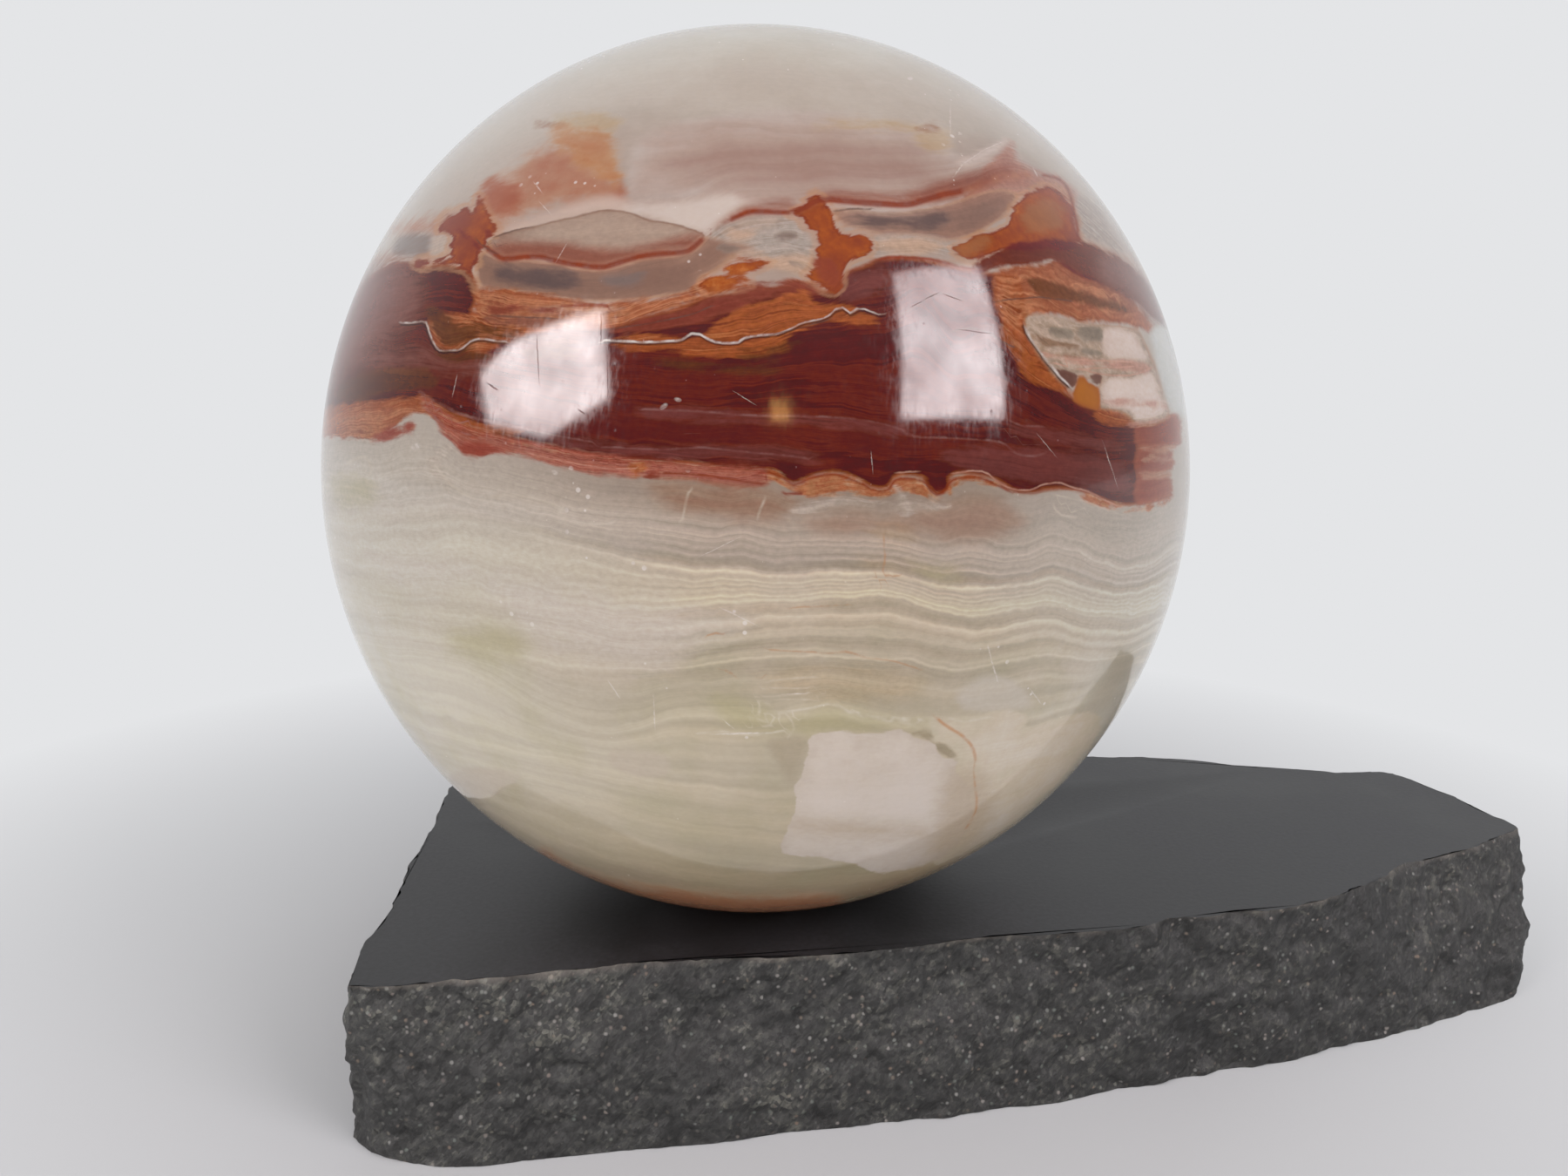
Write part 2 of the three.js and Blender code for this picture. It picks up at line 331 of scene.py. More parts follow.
# The marks, laid over each other in this order. An outline lists its x,y places, px, about 10 to a
# millimetre at the ball's front. tones run from a mark's border to its core, "core" px further in;
# "by" says how much of the tone comes from the depth and how much from each grain of the stone.
# edge is how soft the border is and ragged how far it strays, px; banding is how clear the thin
# layers are in it. rims: a tone along the border, how far in it is, how wide and how strong.
# "everywhere" marks carry on at full width round the back.
marks = [
    {"name": "rosyVeil", "tones": ["#c1b5ad", "#b19a8f", "#a28378"], "core": 50, "edge": 9, "ragged": 5,
     "by": {"depth": 0.9, "cloud": 0.35, "layer": 0.3}, "strength": 0.85, "banding": 0.08,
     "outlines": [
         [735,160, 800,138, 880,127, 950,128, 1010,137, 1070,142, 1090,152, 1094,176, 1120,180, 1150,166,
          1163,168, 1175,184, 1195,202, 1232,212, 1240,245, 1200,240, 1150,226, 1100,238, 1040,244,
          960,246, 905,248, 862,240, 830,232, 760,228, 722,222],
     ]},
    {"name": "goldenCap", "tones": ["#bfae92", "#b3946a"], "core": 6, "edge": 8, "ragged": 10,
     "by": {"depth": 0.7, "cloud": 0.6}, "strength": 0.6, "banding": 0.1,
     "outlines": [
         [935,141, 975,137, 1020,138, 1060,142, 1070,148, 1040,150, 1000,147, 950,146],
         [1050,150, 1085,148, 1092,166, 1075,176, 1056,168],
         [640,134, 690,130, 712,140, 700,152, 655,150, 636,144],
     ]},
    {"name": "umberSpot", "tones": ["#9f6c51", "#8e583b"], "core": 4, "edge": 5, "ragged": 8,
     "by": {"depth": 1}, "strength": 0.65, "banding": 0,
     "outlines": [
         [1054,147, 1062,142, 1074,143, 1079,149, 1072,152, 1060,151],
         [616,139, 645,141, 646,145, 618,145],
     ]},
    {"name": "salmonStain", "tones": ["#ba9986", "#b18168", "#a8694f"], "core": 26, "edge": 13,
     "ragged": 16,
     "by": {"depth": 0.8, "cloud": 0.9, "curdle": 0.3}, "strength": 0.88, "banding": 0.05,
     "outlines": [
         [542,264, 546,240, 552,222, 562,206, 576,200, 600,186, 625,168, 650,160, 670,168, 690,186,
          708,205, 712,224, 690,230, 650,234, 625,242, 600,250, 580,262, 562,270],
         [1236,268, 1262,278, 1296,298, 1340,338, 1332,342, 1290,308, 1240,282],
         [448,258, 480,254, 515,250, 518,262, 500,268, 452,268],
         [430,300, 452,292, 500,294, 502,304, 452,302],
     ]},
    {"name": "russetCore", "tones": ["#a86046", "#984c34"], "core": 12, "edge": 8, "ragged": 8,
     "by": {"depth": 0.8, "cloud": 0.8}, "strength": 0.8, "banding": 0.05,
     "outlines": [
         [552,226, 560,208, 576,206, 594,214, 600,228, 590,244, 574,248, 562,244],
         [706,206, 714,208, 716,226, 709,227],
     ]},
    {"name": "salmonHaze", "tones": ["#b88c79", "#a8705e", "#9a5a49"], "core": 18, "edge": 6, "ragged": 8,
     "by": {"depth": 0.5, "layer": 0.6, "hair": 0.4, "cloud": 0.5}, "strength": 0.75, "banding": 0.6,
     "outlines": [
         [1100,230, 1120,208, 1130,192, 1144,180, 1155,164, 1164,167, 1168,184, 1188,196, 1205,200,
          1222,208, 1238,226, 1244,262, 1234,270, 1228,240, 1210,218, 1185,222, 1165,230, 1130,234],
     ]},
    {"name": "amberStain", "tones": ["#bc987a", "#b6855f", "#b1744c"], "core": 18, "edge": 9, "ragged": 14,
     "by": {"depth": 0.8, "cloud": 0.7, "curdle": 0.3}, "strength": 0.85, "banding": 0.05,
     "outlines": [
         [630,160, 636,146, 650,142, 664,148, 686,150, 702,164, 711,188, 713,212, 704,212, 684,200,
          662,190, 652,176, 640,174],
     ]},
    {"name": "pinkFlare", "tones": ["#c0a698", "#cbb3a6"], "core": 8, "edge": 8, "ragged": 5,
     "by": {"depth": 1, "cloud": 0.4}, "strength": 0.8, "banding": 0.05,
     "outlines": [
         [566,276, 582,262, 604,252, 640,240, 690,226, 722,230, 722,246, 690,244, 650,252, 612,262,
          580,272],
     ]},
    {"name": "whiteFlare", "tones": ["#bca79c", "#cebfb5"], "core": 10, "edge": 6, "ragged": 5,
     "by": {"depth": 1, "cloud": 0.3}, "strength": 0.9, "banding": 0.05,
     "outlines": [
         [714,236, 745,232, 790,228, 840,222, 852,228, 880,234, 858,241, 838,250, 822,262, 812,270,
          795,266, 750,252, 722,246],
         [1100,184, 1130,172, 1152,160, 1156,164, 1138,178, 1108,192],
     ]},
    {"name": "lens", "tones": ["#937263", "#a68e7f", "#ac9586"], "core": 14, "edge": 1.8, "ragged": 2.5,
     "by": {"depth": 0.7, "cloud": 0.7, "layer": 0.4}, "strength": 1, "banding": 0.25,
     "rims": [("#7d5b4a", 0.5, 2, 0.55)],
     "outlines": [
         [558,280, 568,272, 585,266, 604,263, 615,259, 632,255, 665,248, 695,241, 722,244, 748,253,
          780,259, 802,266, 809,271, 800,281, 780,290, 745,293, 715,300, 690,306, 660,304, 620,295,
          580,297, 566,290],
     ]},
    {"name": "redBlush", "tones": ["#955843", "#844534"], "core": 9, "edge": 8, "ragged": 4,
     "by": {"depth": 1, "cloud": 0.5}, "strength": 0.85, "banding": 0.2,
     "outlines": [
         [562,282, 590,276, 650,280, 700,286, 750,278, 803,268, 796,284, 745,293, 715,300, 690,306,
          660,304, 620,296, 580,297],
         [822,262, 840,246, 862,234, 905,230, 912,242, 862,246],
         [925,226, 960,220, 1000,222, 1040,222, 1080,208, 1140,192, 1160,198, 1110,226, 1060,236,
          1000,234, 955,230],
     ]},
    {"name": "smokyStone", "tones": ["#a48371", "#906f60", "#856659"], "core": 14, "edge": 3.5,
     "ragged": 3, "by": {"depth": 0.7, "cloud": 0.9, "thread": 0.2}, "strength": 1, "banding": 0.15,
     "rims": [("#b98d70", 0, 4, 0.5)],
     "outlines": [
         [548,292, 556,289, 575,298, 600,298, 640,303, 665,308, 690,310, 715,304, 740,297, 780,293,
          802,283, 812,272, 835,275, 868,281, 850,290, 838,300, 822,312, 806,318, 797,330, 780,337,
          740,342, 700,346, 660,345, 620,339, 580,335, 556,331, 547,318],
     ]},
    {"name": "smokyRight", "tones": ["#a88573", "#967162", "#836459"], "core": 12, "edge": 4,
     "ragged": 5, "by": {"depth": 0.7, "cloud": 0.9, "layer": 0.3}, "strength": 0.95, "banding": 0.2,
     "rims": [("#b98d70", 0, 4, 0.5)],
     "outlines": [
         [955,241, 985,242, 1010,245, 1040,243, 1070,238, 1100,231, 1140,219, 1168,224, 1160,240,
          1148,252, 1130,264, 1110,273, 1085,276, 1050,269, 1020,271, 1003,269, 985,262, 966,258],
     ]},
    {"name": "smokeCore", "tones": ["#786663", "#645351", "#594b4b"], "core": 9, "edge": 7,
     "ragged": 8, "by": {"depth": 0.7, "cloud": 0.9, "curdle": 0.4}, "strength": 0.85, "banding": 0.1,
     "outlines": [
         [568,312, 580,305, 600,307, 640,309, 664,316, 660,328, 630,332, 595,326, 572,322],
         [968,250, 1000,247, 1040,248, 1075,244, 1088,252, 1074,264, 1030,264, 988,260],
     ]},
    {"name": "smokePale", "tones": ["#847572", "#756865"], "core": 7, "edge": 6,
     "ragged": 6, "by": {"depth": 0.8, "cloud": 0.7}, "strength": 0.75, "banding": 0.1,
     "outlines": [
         [452,292, 456,274, 474,268, 494,270, 492,288, 476,296],
         [690,320, 720,314, 740,312, 735,322, 705,330],
     ]},
    {"name": "whiteLayers", "tones": ["#9c8a7e", "#ada097", "#9f9086", "#beb4ac"], "core": 12, "edge": 6,
     "ragged": 4, "by": {"depth": 0.2, "thread": 0.9, "cloud": 0.7}, "strength": 0.95, "banding": 0.5,
     "outlines": [
         [812,270, 835,258, 860,250, 905,248, 919,260, 930,274, 938,290, 946,302, 952,318, 935,321,
          915,314, 898,306, 880,301, 860,300, 846,294, 868,284, 840,277],
         [1000,273, 1040,270, 1090,277, 1104,284, 1080,291, 1050,291, 1005,293],
         [1236,226, 1260,236, 1276,262, 1290,290, 1262,280, 1240,268],
     ]},
    {"name": "whiteBlock", "tones": ["#ab9385", "#b8a597"], "core": 6, "edge": 5, "ragged": 6,
     "by": {"depth": 0.7, "cloud": 0.6, "thread": 0.3}, "strength": 0.75, "banding": 0.3,
     "outlines": [
         [497,272, 510,268, 519,270, 518,290, 505,297, 495,295],
         [850,252, 880,250, 900,254, 880,262, 850,262],
     ]},
    {"name": "peachVeil", "tones": ["#ba9982", "#c09e85"], "core": 8, "edge": 6, "ragged": 6,
     "by": {"depth": 0.7, "cloud": 0.6}, "strength": 0.75, "banding": 0.3,
     "outlines": [
         [1006,276, 1050,273, 1086,279, 1070,290, 1020,291],
         [862,298, 900,292, 935,297, 950,312, 930,318, 900,312, 875,306],
         [832,268, 850,262, 870,266, 850,276],
     ]},
    {"name": "smokeSpots", "tones": ["#97857a", "#79665d"], "core": 5, "edge": 2.5, "ragged": 3,
     "by": {"depth": 1}, "strength": 0.85, "banding": 0.1,
     "outlines": [
         [886,271, 900,266, 916,268, 912,275, 892,277],
         [905,300, 922,302, 934,310, 918,309],
         [826,280, 850,284, 842,290, 824,288],
     ]},
    {"name": "maroon", "tones": ["#7b3a2b", "#6a2d25", "#5a241d", "#52201a", "#6a2d24", "#5e2721"],
     "core": 26,
     "edge": 2.5, "ragged": 3.5, "strength": 1, "banding": 0.3, "everywhere": True,
     "by": {"depth": 0.45, "layer": 0.5, "cloud": 0.5, "thread": 0.25, "hair": 0.25},
     "rims": [("#a9613c", 1, 5, 0.55)],
     "outlines": [
         [330,440, 368,405, 382,370, 400,345, 420,323, 440,307, 462,300, 480,305, 500,303, 520,304,
          541,312, 549,331, 548,346, 545,362, 600,368, 640,372, 700,374, 740,362, 780,353, 808,340,
          850,334, 890,328, 920,326, 955,334, 966,326, 972,312, 990,304, 1016,296, 1048,296, 1075,300,
          1100,306, 1130,312, 1168,318, 1176,350, 1178,385, 1192,410, 1208,430, 1225,452, 1255,467,
          1285,478, 1300,484, 1330,482, 1345,476, 1353,478, 1355,500, 1350,511, 1308,515, 1342,516,
          1343,540, 1308,546, 1341,547, 1345,560, 1340,572, 1303,580, 1271,577, 1240,565, 1206,562,
          1180,567, 1165,565, 1141,551, 1120,545, 1101,544, 1090,549, 1090,560, 1080,568, 1067,565,
          1061,550, 1040,546, 1028,547, 1020,560, 1003,561, 985,551, 970,545, 957,543, 935,546, 911,556,
          884,546, 836,542, 797,534, 739,532, 671,524, 605,512, 572,503, 545,500, 512,486, 498,474,
          480,466, 460,468, 430,470, 395,478, 330,492],
     ]},
    {"name": "paleMaroon", "tones": ["#a45f42", "#9b513a", "#8f422f"], "core": 9, "edge": 3, "ragged": 3,
     "by": {"depth": 0.6, "cloud": 0.6, "thread": 0.5}, "strength": 0.85, "banding": 0.4,
     "outlines": [
         [1306,483, 1330,483, 1345,476, 1353,478, 1355,500, 1350,511, 1306,514],
         [1306,516, 1340,515, 1345,519, 1343,539, 1306,546],
         [1306,548, 1341,547, 1345,560, 1340,572, 1306,579],
     ]},
    {"name": "combGaps", "tones": ["#b98f76", "#a77a62"], "core": 3, "edge": 2, "ragged": 3,
     "by": {"depth": 0.6, "curdle": 0.6}, "strength": 0.75, "banding": 0.3,
     "outlines": [
         [1310,513, 1330,512, 1350,511, 1346,518, 1318,518],
         [1312,526, 1344,524, 1344,529, 1316,531],
         [1308,543, 1328,541, 1345,540, 1342,549, 1314,550],
     ]},
    # purple-brown stone at the left rim, partly a painted sheen of the bright room at grazing angles
    {"name": "purpleAndSheenLeft", "tones": ["#79443a", "#805149", "#855c57"], "core": 50, "edge": 18, "ragged": 16,
     "by": {"depth": 0.9, "layer": 0.4, "cloud": 0.4}, "strength": 0.9, "banding": 0.3,
     "outlines": [
         [340,450, 372,380, 405,325, 440,303, 468,304, 484,330, 476,362, 452,384, 430,404, 395,425,
          380,450],
         [380,404, 420,398, 470,402, 520,408, 560,412, 545,424, 480,420, 400,424],
     ]},
    {"name": "duskyStreaks", "tones": ["#6e3b37", "#7b4947"], "core": 7, "edge": 6, "ragged": 10,
     "by": {"depth": 0.6, "layer": 0.6}, "strength": 0.55, "banding": 0.3, "everywhere": True,
     "outlines": [
         [735,466, 800,468, 870,474, 960,478, 1040,492, 1040,502, 960,490, 860,486, 740,480],
         [640,502, 740,510, 860,512, 940,520, 930,532, 860,528, 740,526, 650,516],
         [965,318, 1000,305, 1020,306, 1014,330, 985,345, 962,342],
         [1160,486, 1230,496, 1290,512, 1280,520, 1220,508, 1160,500],
         [1080,520, 1160,512, 1250,520, 1296,540, 1292,570, 1240,558, 1180,554, 1100,538],
     ]},
    {"name": "rust", "tones": ["#bd8057", "#a6623e", "#934d2e", "#a15d3c", "#b27450", "#86442a"],
     "core": 12,
     "edge": 3.5, "ragged": 7, "strength": 0.95, "banding": 0.6, "everywhere": True,
     "by": {"depth": 0.4, "thread": 0.5, "hair": 0.4, "layer": 0.3, "cloud": 0.4, "curdle": 0.25},
     "outlines": [
         [546,330, 600,334, 660,343, 700,347, 780,338, 806,320, 830,318, 845,324, 880,326, 900,322,
          930,320, 950,330, 900,329, 850,334, 810,342, 780,354, 740,364, 700,376, 640,378, 600,386,
          575,396, 555,406, 520,404, 500,396, 490,372, 505,362, 540,362, 545,348],
         [330,498, 372,470, 400,462, 430,460, 470,456, 485,452, 500,464, 520,476, 550,484, 600,496,
          560,500, 530,500, 512,490, 496,478, 478,474, 462,484, 440,500, 426,506, 395,502],
         [1140,316, 1150,309, 1170,306, 1200,302, 1212,298, 1232,308, 1262,322, 1296,340, 1318,362,
          1322,380, 1300,374, 1265,370, 1230,366, 1200,360, 1184,362, 1176,372, 1180,392, 1200,412,
          1222,440, 1236,456, 1200,440, 1174,420, 1160,404, 1150,380, 1142,348],
     ]},
    {"name": "peachBand", "tones": ["#b08168", "#bb917a"], "core": 5, "edge": 3, "ragged": 6,
     "by": {"depth": 0.6, "hair": 0.5, "cloud": 0.4}, "strength": 0.75, "banding": 0.5, "everywhere": True,
     "outlines": [
         [600,353, 640,350, 710,351, 730,350, 700,358, 640,361, 610,358],
     ]},
    {"name": "brownBand", "tones": ["#8d5d4c", "#7b4a3d"], "core": 4, "edge": 3, "ragged": 6,
     "by": {"depth": 0.6, "hair": 0.6, "cloud": 0.4}, "strength": 0.8, "banding": 0.5, "everywhere": True,
     "outlines": [
         [560,362, 600,362, 650,366, 690,371, 660,377, 600,374, 560,370],
         [550,384, 590,388, 640,386, 690,382, 660,392, 600,394],
     ]},
    {"name": "darkStreak", "tones": ["#8a4838", "#7b392f"], "core": 6, "edge": 3, "ragged": 5,
     "by": {"depth": 0.8, "thread": 0.5, "hair": 0.4}, "strength": 0.9, "banding": 0.4, "everywhere": True,
     "outlines": [
         [696,382, 720,372, 750,362, 790,355, 812,342, 832,338, 870,336, 895,331, 925,330, 950,338,
          920,340, 893,342, 855,352, 822,364, 780,376, 730,381],
         [560,352, 600,350, 650,356, 650,361, 600,358, 562,360],
         [848,328, 900,322, 950,325, 960,332, 900,331, 852,335],
     ]},
    {"name": "ochre", "tones": ["#82412b", "#924c2e", "#a75d33", "#9b5330", "#87452b", "#a6633a"],
     "core": 10,
     "edge": 4, "ragged": 8, "strength": 0.92, "banding": 0.6, "everywhere": True,
     "by": {"depth": 0.5, "thread": 0.6, "hair": 0.6, "cloud": 0.4},
     "outlines": [
         [700,396, 740,383, 800,388, 815,376, 835,366, 856,352, 885,344, 912,334, 928,336, 940,350,
          975,352, 1012,366, 1000,374, 950,368, 930,376, 900,388, 906,400, 880,406, 845,412, 800,410,
          770,402, 740,402],
         [1178,404, 1196,418, 1216,436, 1226,448, 1200,444, 1180,436, 1166,420],
         [1262,466, 1280,470, 1298,478, 1300,488, 1268,486, 1256,476],
     ]},
    {"name": "olive", "tones": ["#7a472f", "#633921", "#55301e"], "core": 8, "edge": 4, "ragged": 8,
     "by": {"depth": 0.5, "thread": 0.6, "hair": 0.3, "cloud": 0.5}, "strength": 0.85, "banding": 0.5,
     "everywhere": True,
     "outlines": [
         [384,456, 400,436, 430,426, 462,422, 490,424, 500,432, 498,442, 480,446, 440,452, 410,460],
         [488,352, 500,352, 510,362, 530,372, 560,374, 600,380, 580,388, 555,384, 540,392, 524,398,
          508,396, 498,380],
         [1180,324, 1200,321, 1222,328, 1250,338, 1280,346, 1296,358, 1262,353, 1222,346, 1195,342],
         [500,404, 540,402, 560,410, 520,416],
         [600,400, 640,396, 670,402, 650,412, 610,412],
     ]},
    {"name": "oliveStreak", "tones": ["#5f3122", "#5b3a26"], "core": 5, "edge": 4, "ragged": 9,
     "by": {"depth": 0.6, "thread": 0.6, "hair": 0.4}, "strength": 0.75, "banding": 0.5, "everywhere": True,
     "outlines": [
         [740,413, 800,413, 880,420, 905,424, 880,430, 820,427, 760,422],
         [845,404, 890,398, 930,384, 926,392, 900,404, 860,412],
     ]},
    {"name": "veins", "tones": ["#b36835", "#a25225", "#95471f", "#893e1d"], "core": 9, "edge": 3,
     "ragged": 8,
     "by": {"depth": 0.4, "cloud": 0.9, "curdle": 0.8}, "strength": 1, "banding": 0.15,
     "rims": [("#b98a68", -4, 5, 0.6), ("#7a3020", 2, 3.2, 0.9)],
     "outlines": [
         [504,262, 511,250, 522,243, 536,238, 542,243, 547,230, 552,226, 557,238, 564,252, 570,262,
          561,274, 556,285, 549,291, 548,300, 543,311, 547,330, 541,318, 528,306, 505,304, 480,306,
          478,300, 500,298, 518,294, 517,284, 520,272, 512,264],
         [906,246, 914,240, 925,237, 927,228, 935,223, 943,227, 951,238, 957,246, 959,256, 965,266,
          976,270, 990,268, 999,274, 1002,283, 995,291, 980,297, 971,302, 967,314, 965,326, 958,334,
          946,333, 934,324, 922,316, 934,308, 944,300, 937,288, 942,278, 936,268, 927,262, 924,252,
          914,250],
         [1094,286, 1108,277, 1126,270, 1146,265, 1158,258, 1160,246, 1164,236, 1178,224, 1196,216,
          1210,217, 1221,225, 1230,240, 1234,254, 1238,270, 1236,284, 1215,286, 1190,283, 1165,286,
          1145,292, 1124,300, 1106,296],
         [806,334, 808,322, 824,317, 845,322, 860,326, 838,333, 822,335],
         [840,300, 862,295, 884,298, 876,307, 856,314, 834,316, 828,310],
     ]},
    {"name": "veinBruise", "tones": ["#914836", "#873e30"], "core": 6, "edge": 5, "ragged": 6,
     "by": {"depth": 0.8, "cloud": 0.6}, "strength": 0.8, "banding": 0.1,
     "outlines": [
         [506,262, 512,251, 524,244, 538,242, 540,254, 532,264, 516,268],
         [1160,284, 1180,276, 1210,274, 1228,268, 1228,240, 1222,226, 1230,234, 1238,262, 1240,282,
          1210,284, 1180,286],
         [935,300, 950,296, 964,306, 962,328, 948,330, 938,316],
     ]},
    {"name": "veinGlow", "tones": ["#a06541", "#996540"], "core": 12, "edge": 6, "ragged": 8,
     "by": {"depth": 0.8, "cloud": 0.9}, "strength": 0.7, "banding": 0.1,
     "outlines": [
         [1172,250, 1184,234, 1204,228, 1218,240, 1220,258, 1200,266, 1180,264],
         [1096,286, 1110,278, 1128,272, 1138,278, 1124,291, 1104,294],
     ]},
    {"name": "tongue", "tones": ["#7a2f1a", "#6a2415", "#621f13"], "core": 8, "edge": 3, "ragged": 5,
     "by": {"depth": 0.8, "thread": 0.4, "hair": 0.3, "cloud": 0.4}, "strength": 0.95, "banding": 0.35,
     "outlines": [
         [1114,311, 1121,300, 1140,289, 1160,281, 1190,276, 1215,274, 1235,276, 1252,281, 1272,290,
          1292,301, 1308,314, 1324,332, 1338,352, 1345,372, 1326,366, 1302,346, 1285,336, 1262,326,
          1240,318, 1225,309, 1210,299, 1195,301, 1170,304, 1145,306, 1126,314],
     ]},
    # purple-brown stone at the right rim, partly a painted sheen of the bright room at grazing angles
    {"name": "purpleAndSheenRight", "tones": ["#77443a", "#7c4f45", "#845d56"], "core": 16, "edge": 10, "ragged": 5,
     "by": {"depth": 0.8, "layer": 0.4}, "strength": 0.85, "banding": 0.3,
     "outlines": [
         [1262,292, 1290,300, 1326,334, 1348,378, 1322,366, 1296,342, 1262,322],
     ]},
    {"name": "fragments", "tones": ["#a08772", "#b5a090", "#9f8875", "#c2aea0"], "core": 12, "edge": 2,
     "ragged": 3, "by": {"depth": 0.4, "thread": 0.8, "cloud": 0.6, "curdle": 0.4}, "strength": 1,
     "banding": 0.5, "rims": [("#a87a58", -1, 3, 0.6)],
     "outlines": [
         [1177,368, 1188,362, 1210,363, 1240,372, 1266,375, 1300,378, 1312,390, 1322,412, 1326,424,
          1334,450, 1341,474, 1330,484, 1308,488, 1300,480, 1284,470, 1263,468, 1262,448, 1266,434,
          1250,432, 1232,440, 1222,442, 1205,424, 1190,402],
     ]},
    {"name": "paleRight", "tones": ["#bfc1bd", "#cecfcb"], "core": 12, "edge": 5, "ragged": 3,
     "by": {"depth": 0.9, "cloud": 0.4}, "strength": 0.9, "banding": 0.15,
     "outlines": [
         [1322,380, 1340,376, 1354,400, 1362,440, 1364,476, 1352,474, 1342,468, 1334,440, 1326,408],
     ]},
    {"name": "whitePane", "tones": ["#d0baad", "#dccac0"], "core": 10, "edge": 4, "ragged": 3,
     "by": {"depth": 0.8, "cloud": 0.7}, "strength": 0.85, "banding": 0.15,
     "outlines": [
         [1268,378, 1298,380, 1310,396, 1318,414, 1290,412, 1268,410],
         [1268,436, 1300,434, 1322,428, 1332,452, 1338,472, 1310,482, 1292,470, 1268,464],
     ]},
    {"name": "greyPanes", "tones": ["#978879", "#7f7266"], "core": 4, "edge": 1.5, "ragged": 2,
     "by": {"depth": 0.7, "cloud": 0.6, "curdle": 0.6}, "strength": 0.95, "banding": 0.4,
     "outlines": [
         [1204,375, 1222,376, 1232,378, 1232,389, 1218,388, 1206,385],
         [1239,377, 1252,376, 1264,377, 1265,391, 1252,391, 1240,389],
         [1243,399, 1254,401, 1265,403, 1265,409, 1254,408, 1243,406],
     ]},
    {"name": "brownPanes", "tones": ["#876650", "#7a5b42"], "core": 3, "edge": 1.8, "ragged": 3,
     "by": {"depth": 0.7, "cloud": 0.6}, "strength": 0.8, "banding": 0.5,
     "outlines": [
         [1184,382, 1200,388, 1220,393, 1238,397, 1238,402, 1216,399, 1196,394],
         [1200,399, 1218,404, 1236,406, 1236,410, 1216,409, 1203,405],
     ]},
    {"name": "rosySeam", "tones": ["#bf9685", "#b98070"], "core": 4, "edge": 3, "ragged": 4,
     "by": {"depth": 0.6, "thread": 0.9}, "strength": 0.7, "banding": 0.4,
     "outlines": [
         [1196,404, 1240,411, 1300,413, 1322,420, 1316,428, 1290,426, 1262,420, 1230,417, 1204,411],
         [1266,460, 1300,458, 1336,462, 1336,468, 1300,466, 1270,466],
         [1296,486, 1330,480, 1346,473, 1344,477, 1326,485, 1300,490],
     ]},
    {"name": "darkChinks", "tones": ["#7c5b50", "#674239"], "core": 4, "edge": 1.5, "ragged": 3,
     "by": {"depth": 0.8, "curdle": 0.6}, "strength": 0.95, "banding": 0,
     "outlines": [
         [1209,424, 1222,424, 1236,430, 1236,440, 1228,446, 1218,438],
         [1252,432, 1264,427, 1266,434, 1262,441, 1254,438],
     ]},
    {"name": "amberBead", "tones": ["#a35c30", "#ad6a2c"], "core": 6, "edge": 2, "ragged": 2,
     "by": {"depth": 0.9, "cloud": 0.4}, "strength": 1, "banding": 0.05,
     "outlines": [
         [1231,452, 1236,440, 1238,432, 1244,432, 1250,440, 1260,444, 1263,458, 1262,470, 1252,470,
          1240,466, 1232,460],
     ]},
    {"name": "salmonFringe", "tones": ["#b2846e", "#a56552", "#8f4236", "#a96858", "#974f3c"],
     "core": 10, "edge": 4,
     "ragged": 6, "strength": 0.9, "banding": 0.6, "everywhere": True,
     "by": {"depth": 0.5, "thread": 0.6, "hair": 0.9, "curdle": 0.5},
     "outlines": [
         [428,504, 436,496, 452,490, 474,484, 474,494, 460,502, 442,506],
         [485,455, 500,466, 515,478, 545,492, 580,500, 620,510, 680,520, 740,528, 800,531, 850,536,
          880,540, 890,552, 866,560, 830,558, 797,550, 760,550, 739,548, 700,546, 660,540, 605,526,
          572,520, 550,526, 532,520, 518,508, 506,496, 496,476, 484,466],
     ]},
    {"name": "redSpots", "tones": ["#994c3d", "#8c3d33"], "core": 6, "edge": 5, "ragged": 6,
     "by": {"depth": 0.9, "cloud": 0.6}, "strength": 0.8, "banding": 0.2,
     "outlines": [
         [428,503, 440,494, 468,486, 472,492, 458,500, 440,505],
         [520,508, 540,506, 570,512, 590,518, 566,522, 548,526, 530,518],
         [800,548, 850,550, 880,552, 870,560, 830,558, 805,554],
     ]},
    {"name": "orangeFringe", "tones": ["#bd9a7f", "#b17853", "#a15937", "#ad734c"], "core": 7,
     "edge": 3, "ragged": 8,
     "by": {"depth": 0.6, "thread": 0.5, "hair": 0.5, "curdle": 1.0}, "strength": 0.9, "banding": 0.6,
     "everywhere": True,
     "outlines": [
         [880,538, 900,546, 911,554, 935,544, 957,541, 985,550, 1003,560, 1020,559, 1030,546, 1058,550,
          1062,562, 1080,568, 1090,560, 1094,549, 1120,546, 1141,552, 1142,558, 1112,554, 1098,558,
          1092,568, 1078,575, 1060,571, 1040,564, 1020,570, 1000,572, 975,564, 955,568, 930,572, 905,562,
          885,552],
         [722,534, 742,533, 744,540, 734,547, 724,544],
         [1240,566, 1262,572, 1290,582, 1330,576, 1342,571, 1340,576, 1310,586, 1275,585, 1250,576],
     ]},
    {"name": "bloodSpots", "tones": ["#8f4030", "#742b22"], "core": 4, "edge": 1.8, "ragged": 4,
     "by": {"depth": 0.9, "curdle": 0.4}, "strength": 0.95, "banding": 0.1,
     "outlines": [
         [738,541, 752,539, 763,540, 762,547, 748,551, 738,548],
         [813,540, 832,540, 830,545, 816,545],
         [890,562, 905,564, 922,564, 916,571, 902,572],
         [928,549, 942,550, 946,556, 934,557],
         [812,264, 820,263, 818,268, 812,269],
         [524,262, 534,266, 548,278, 556,286, 550,289, 540,280, 528,270],
         [556,264, 564,264, 564,272, 558,274],
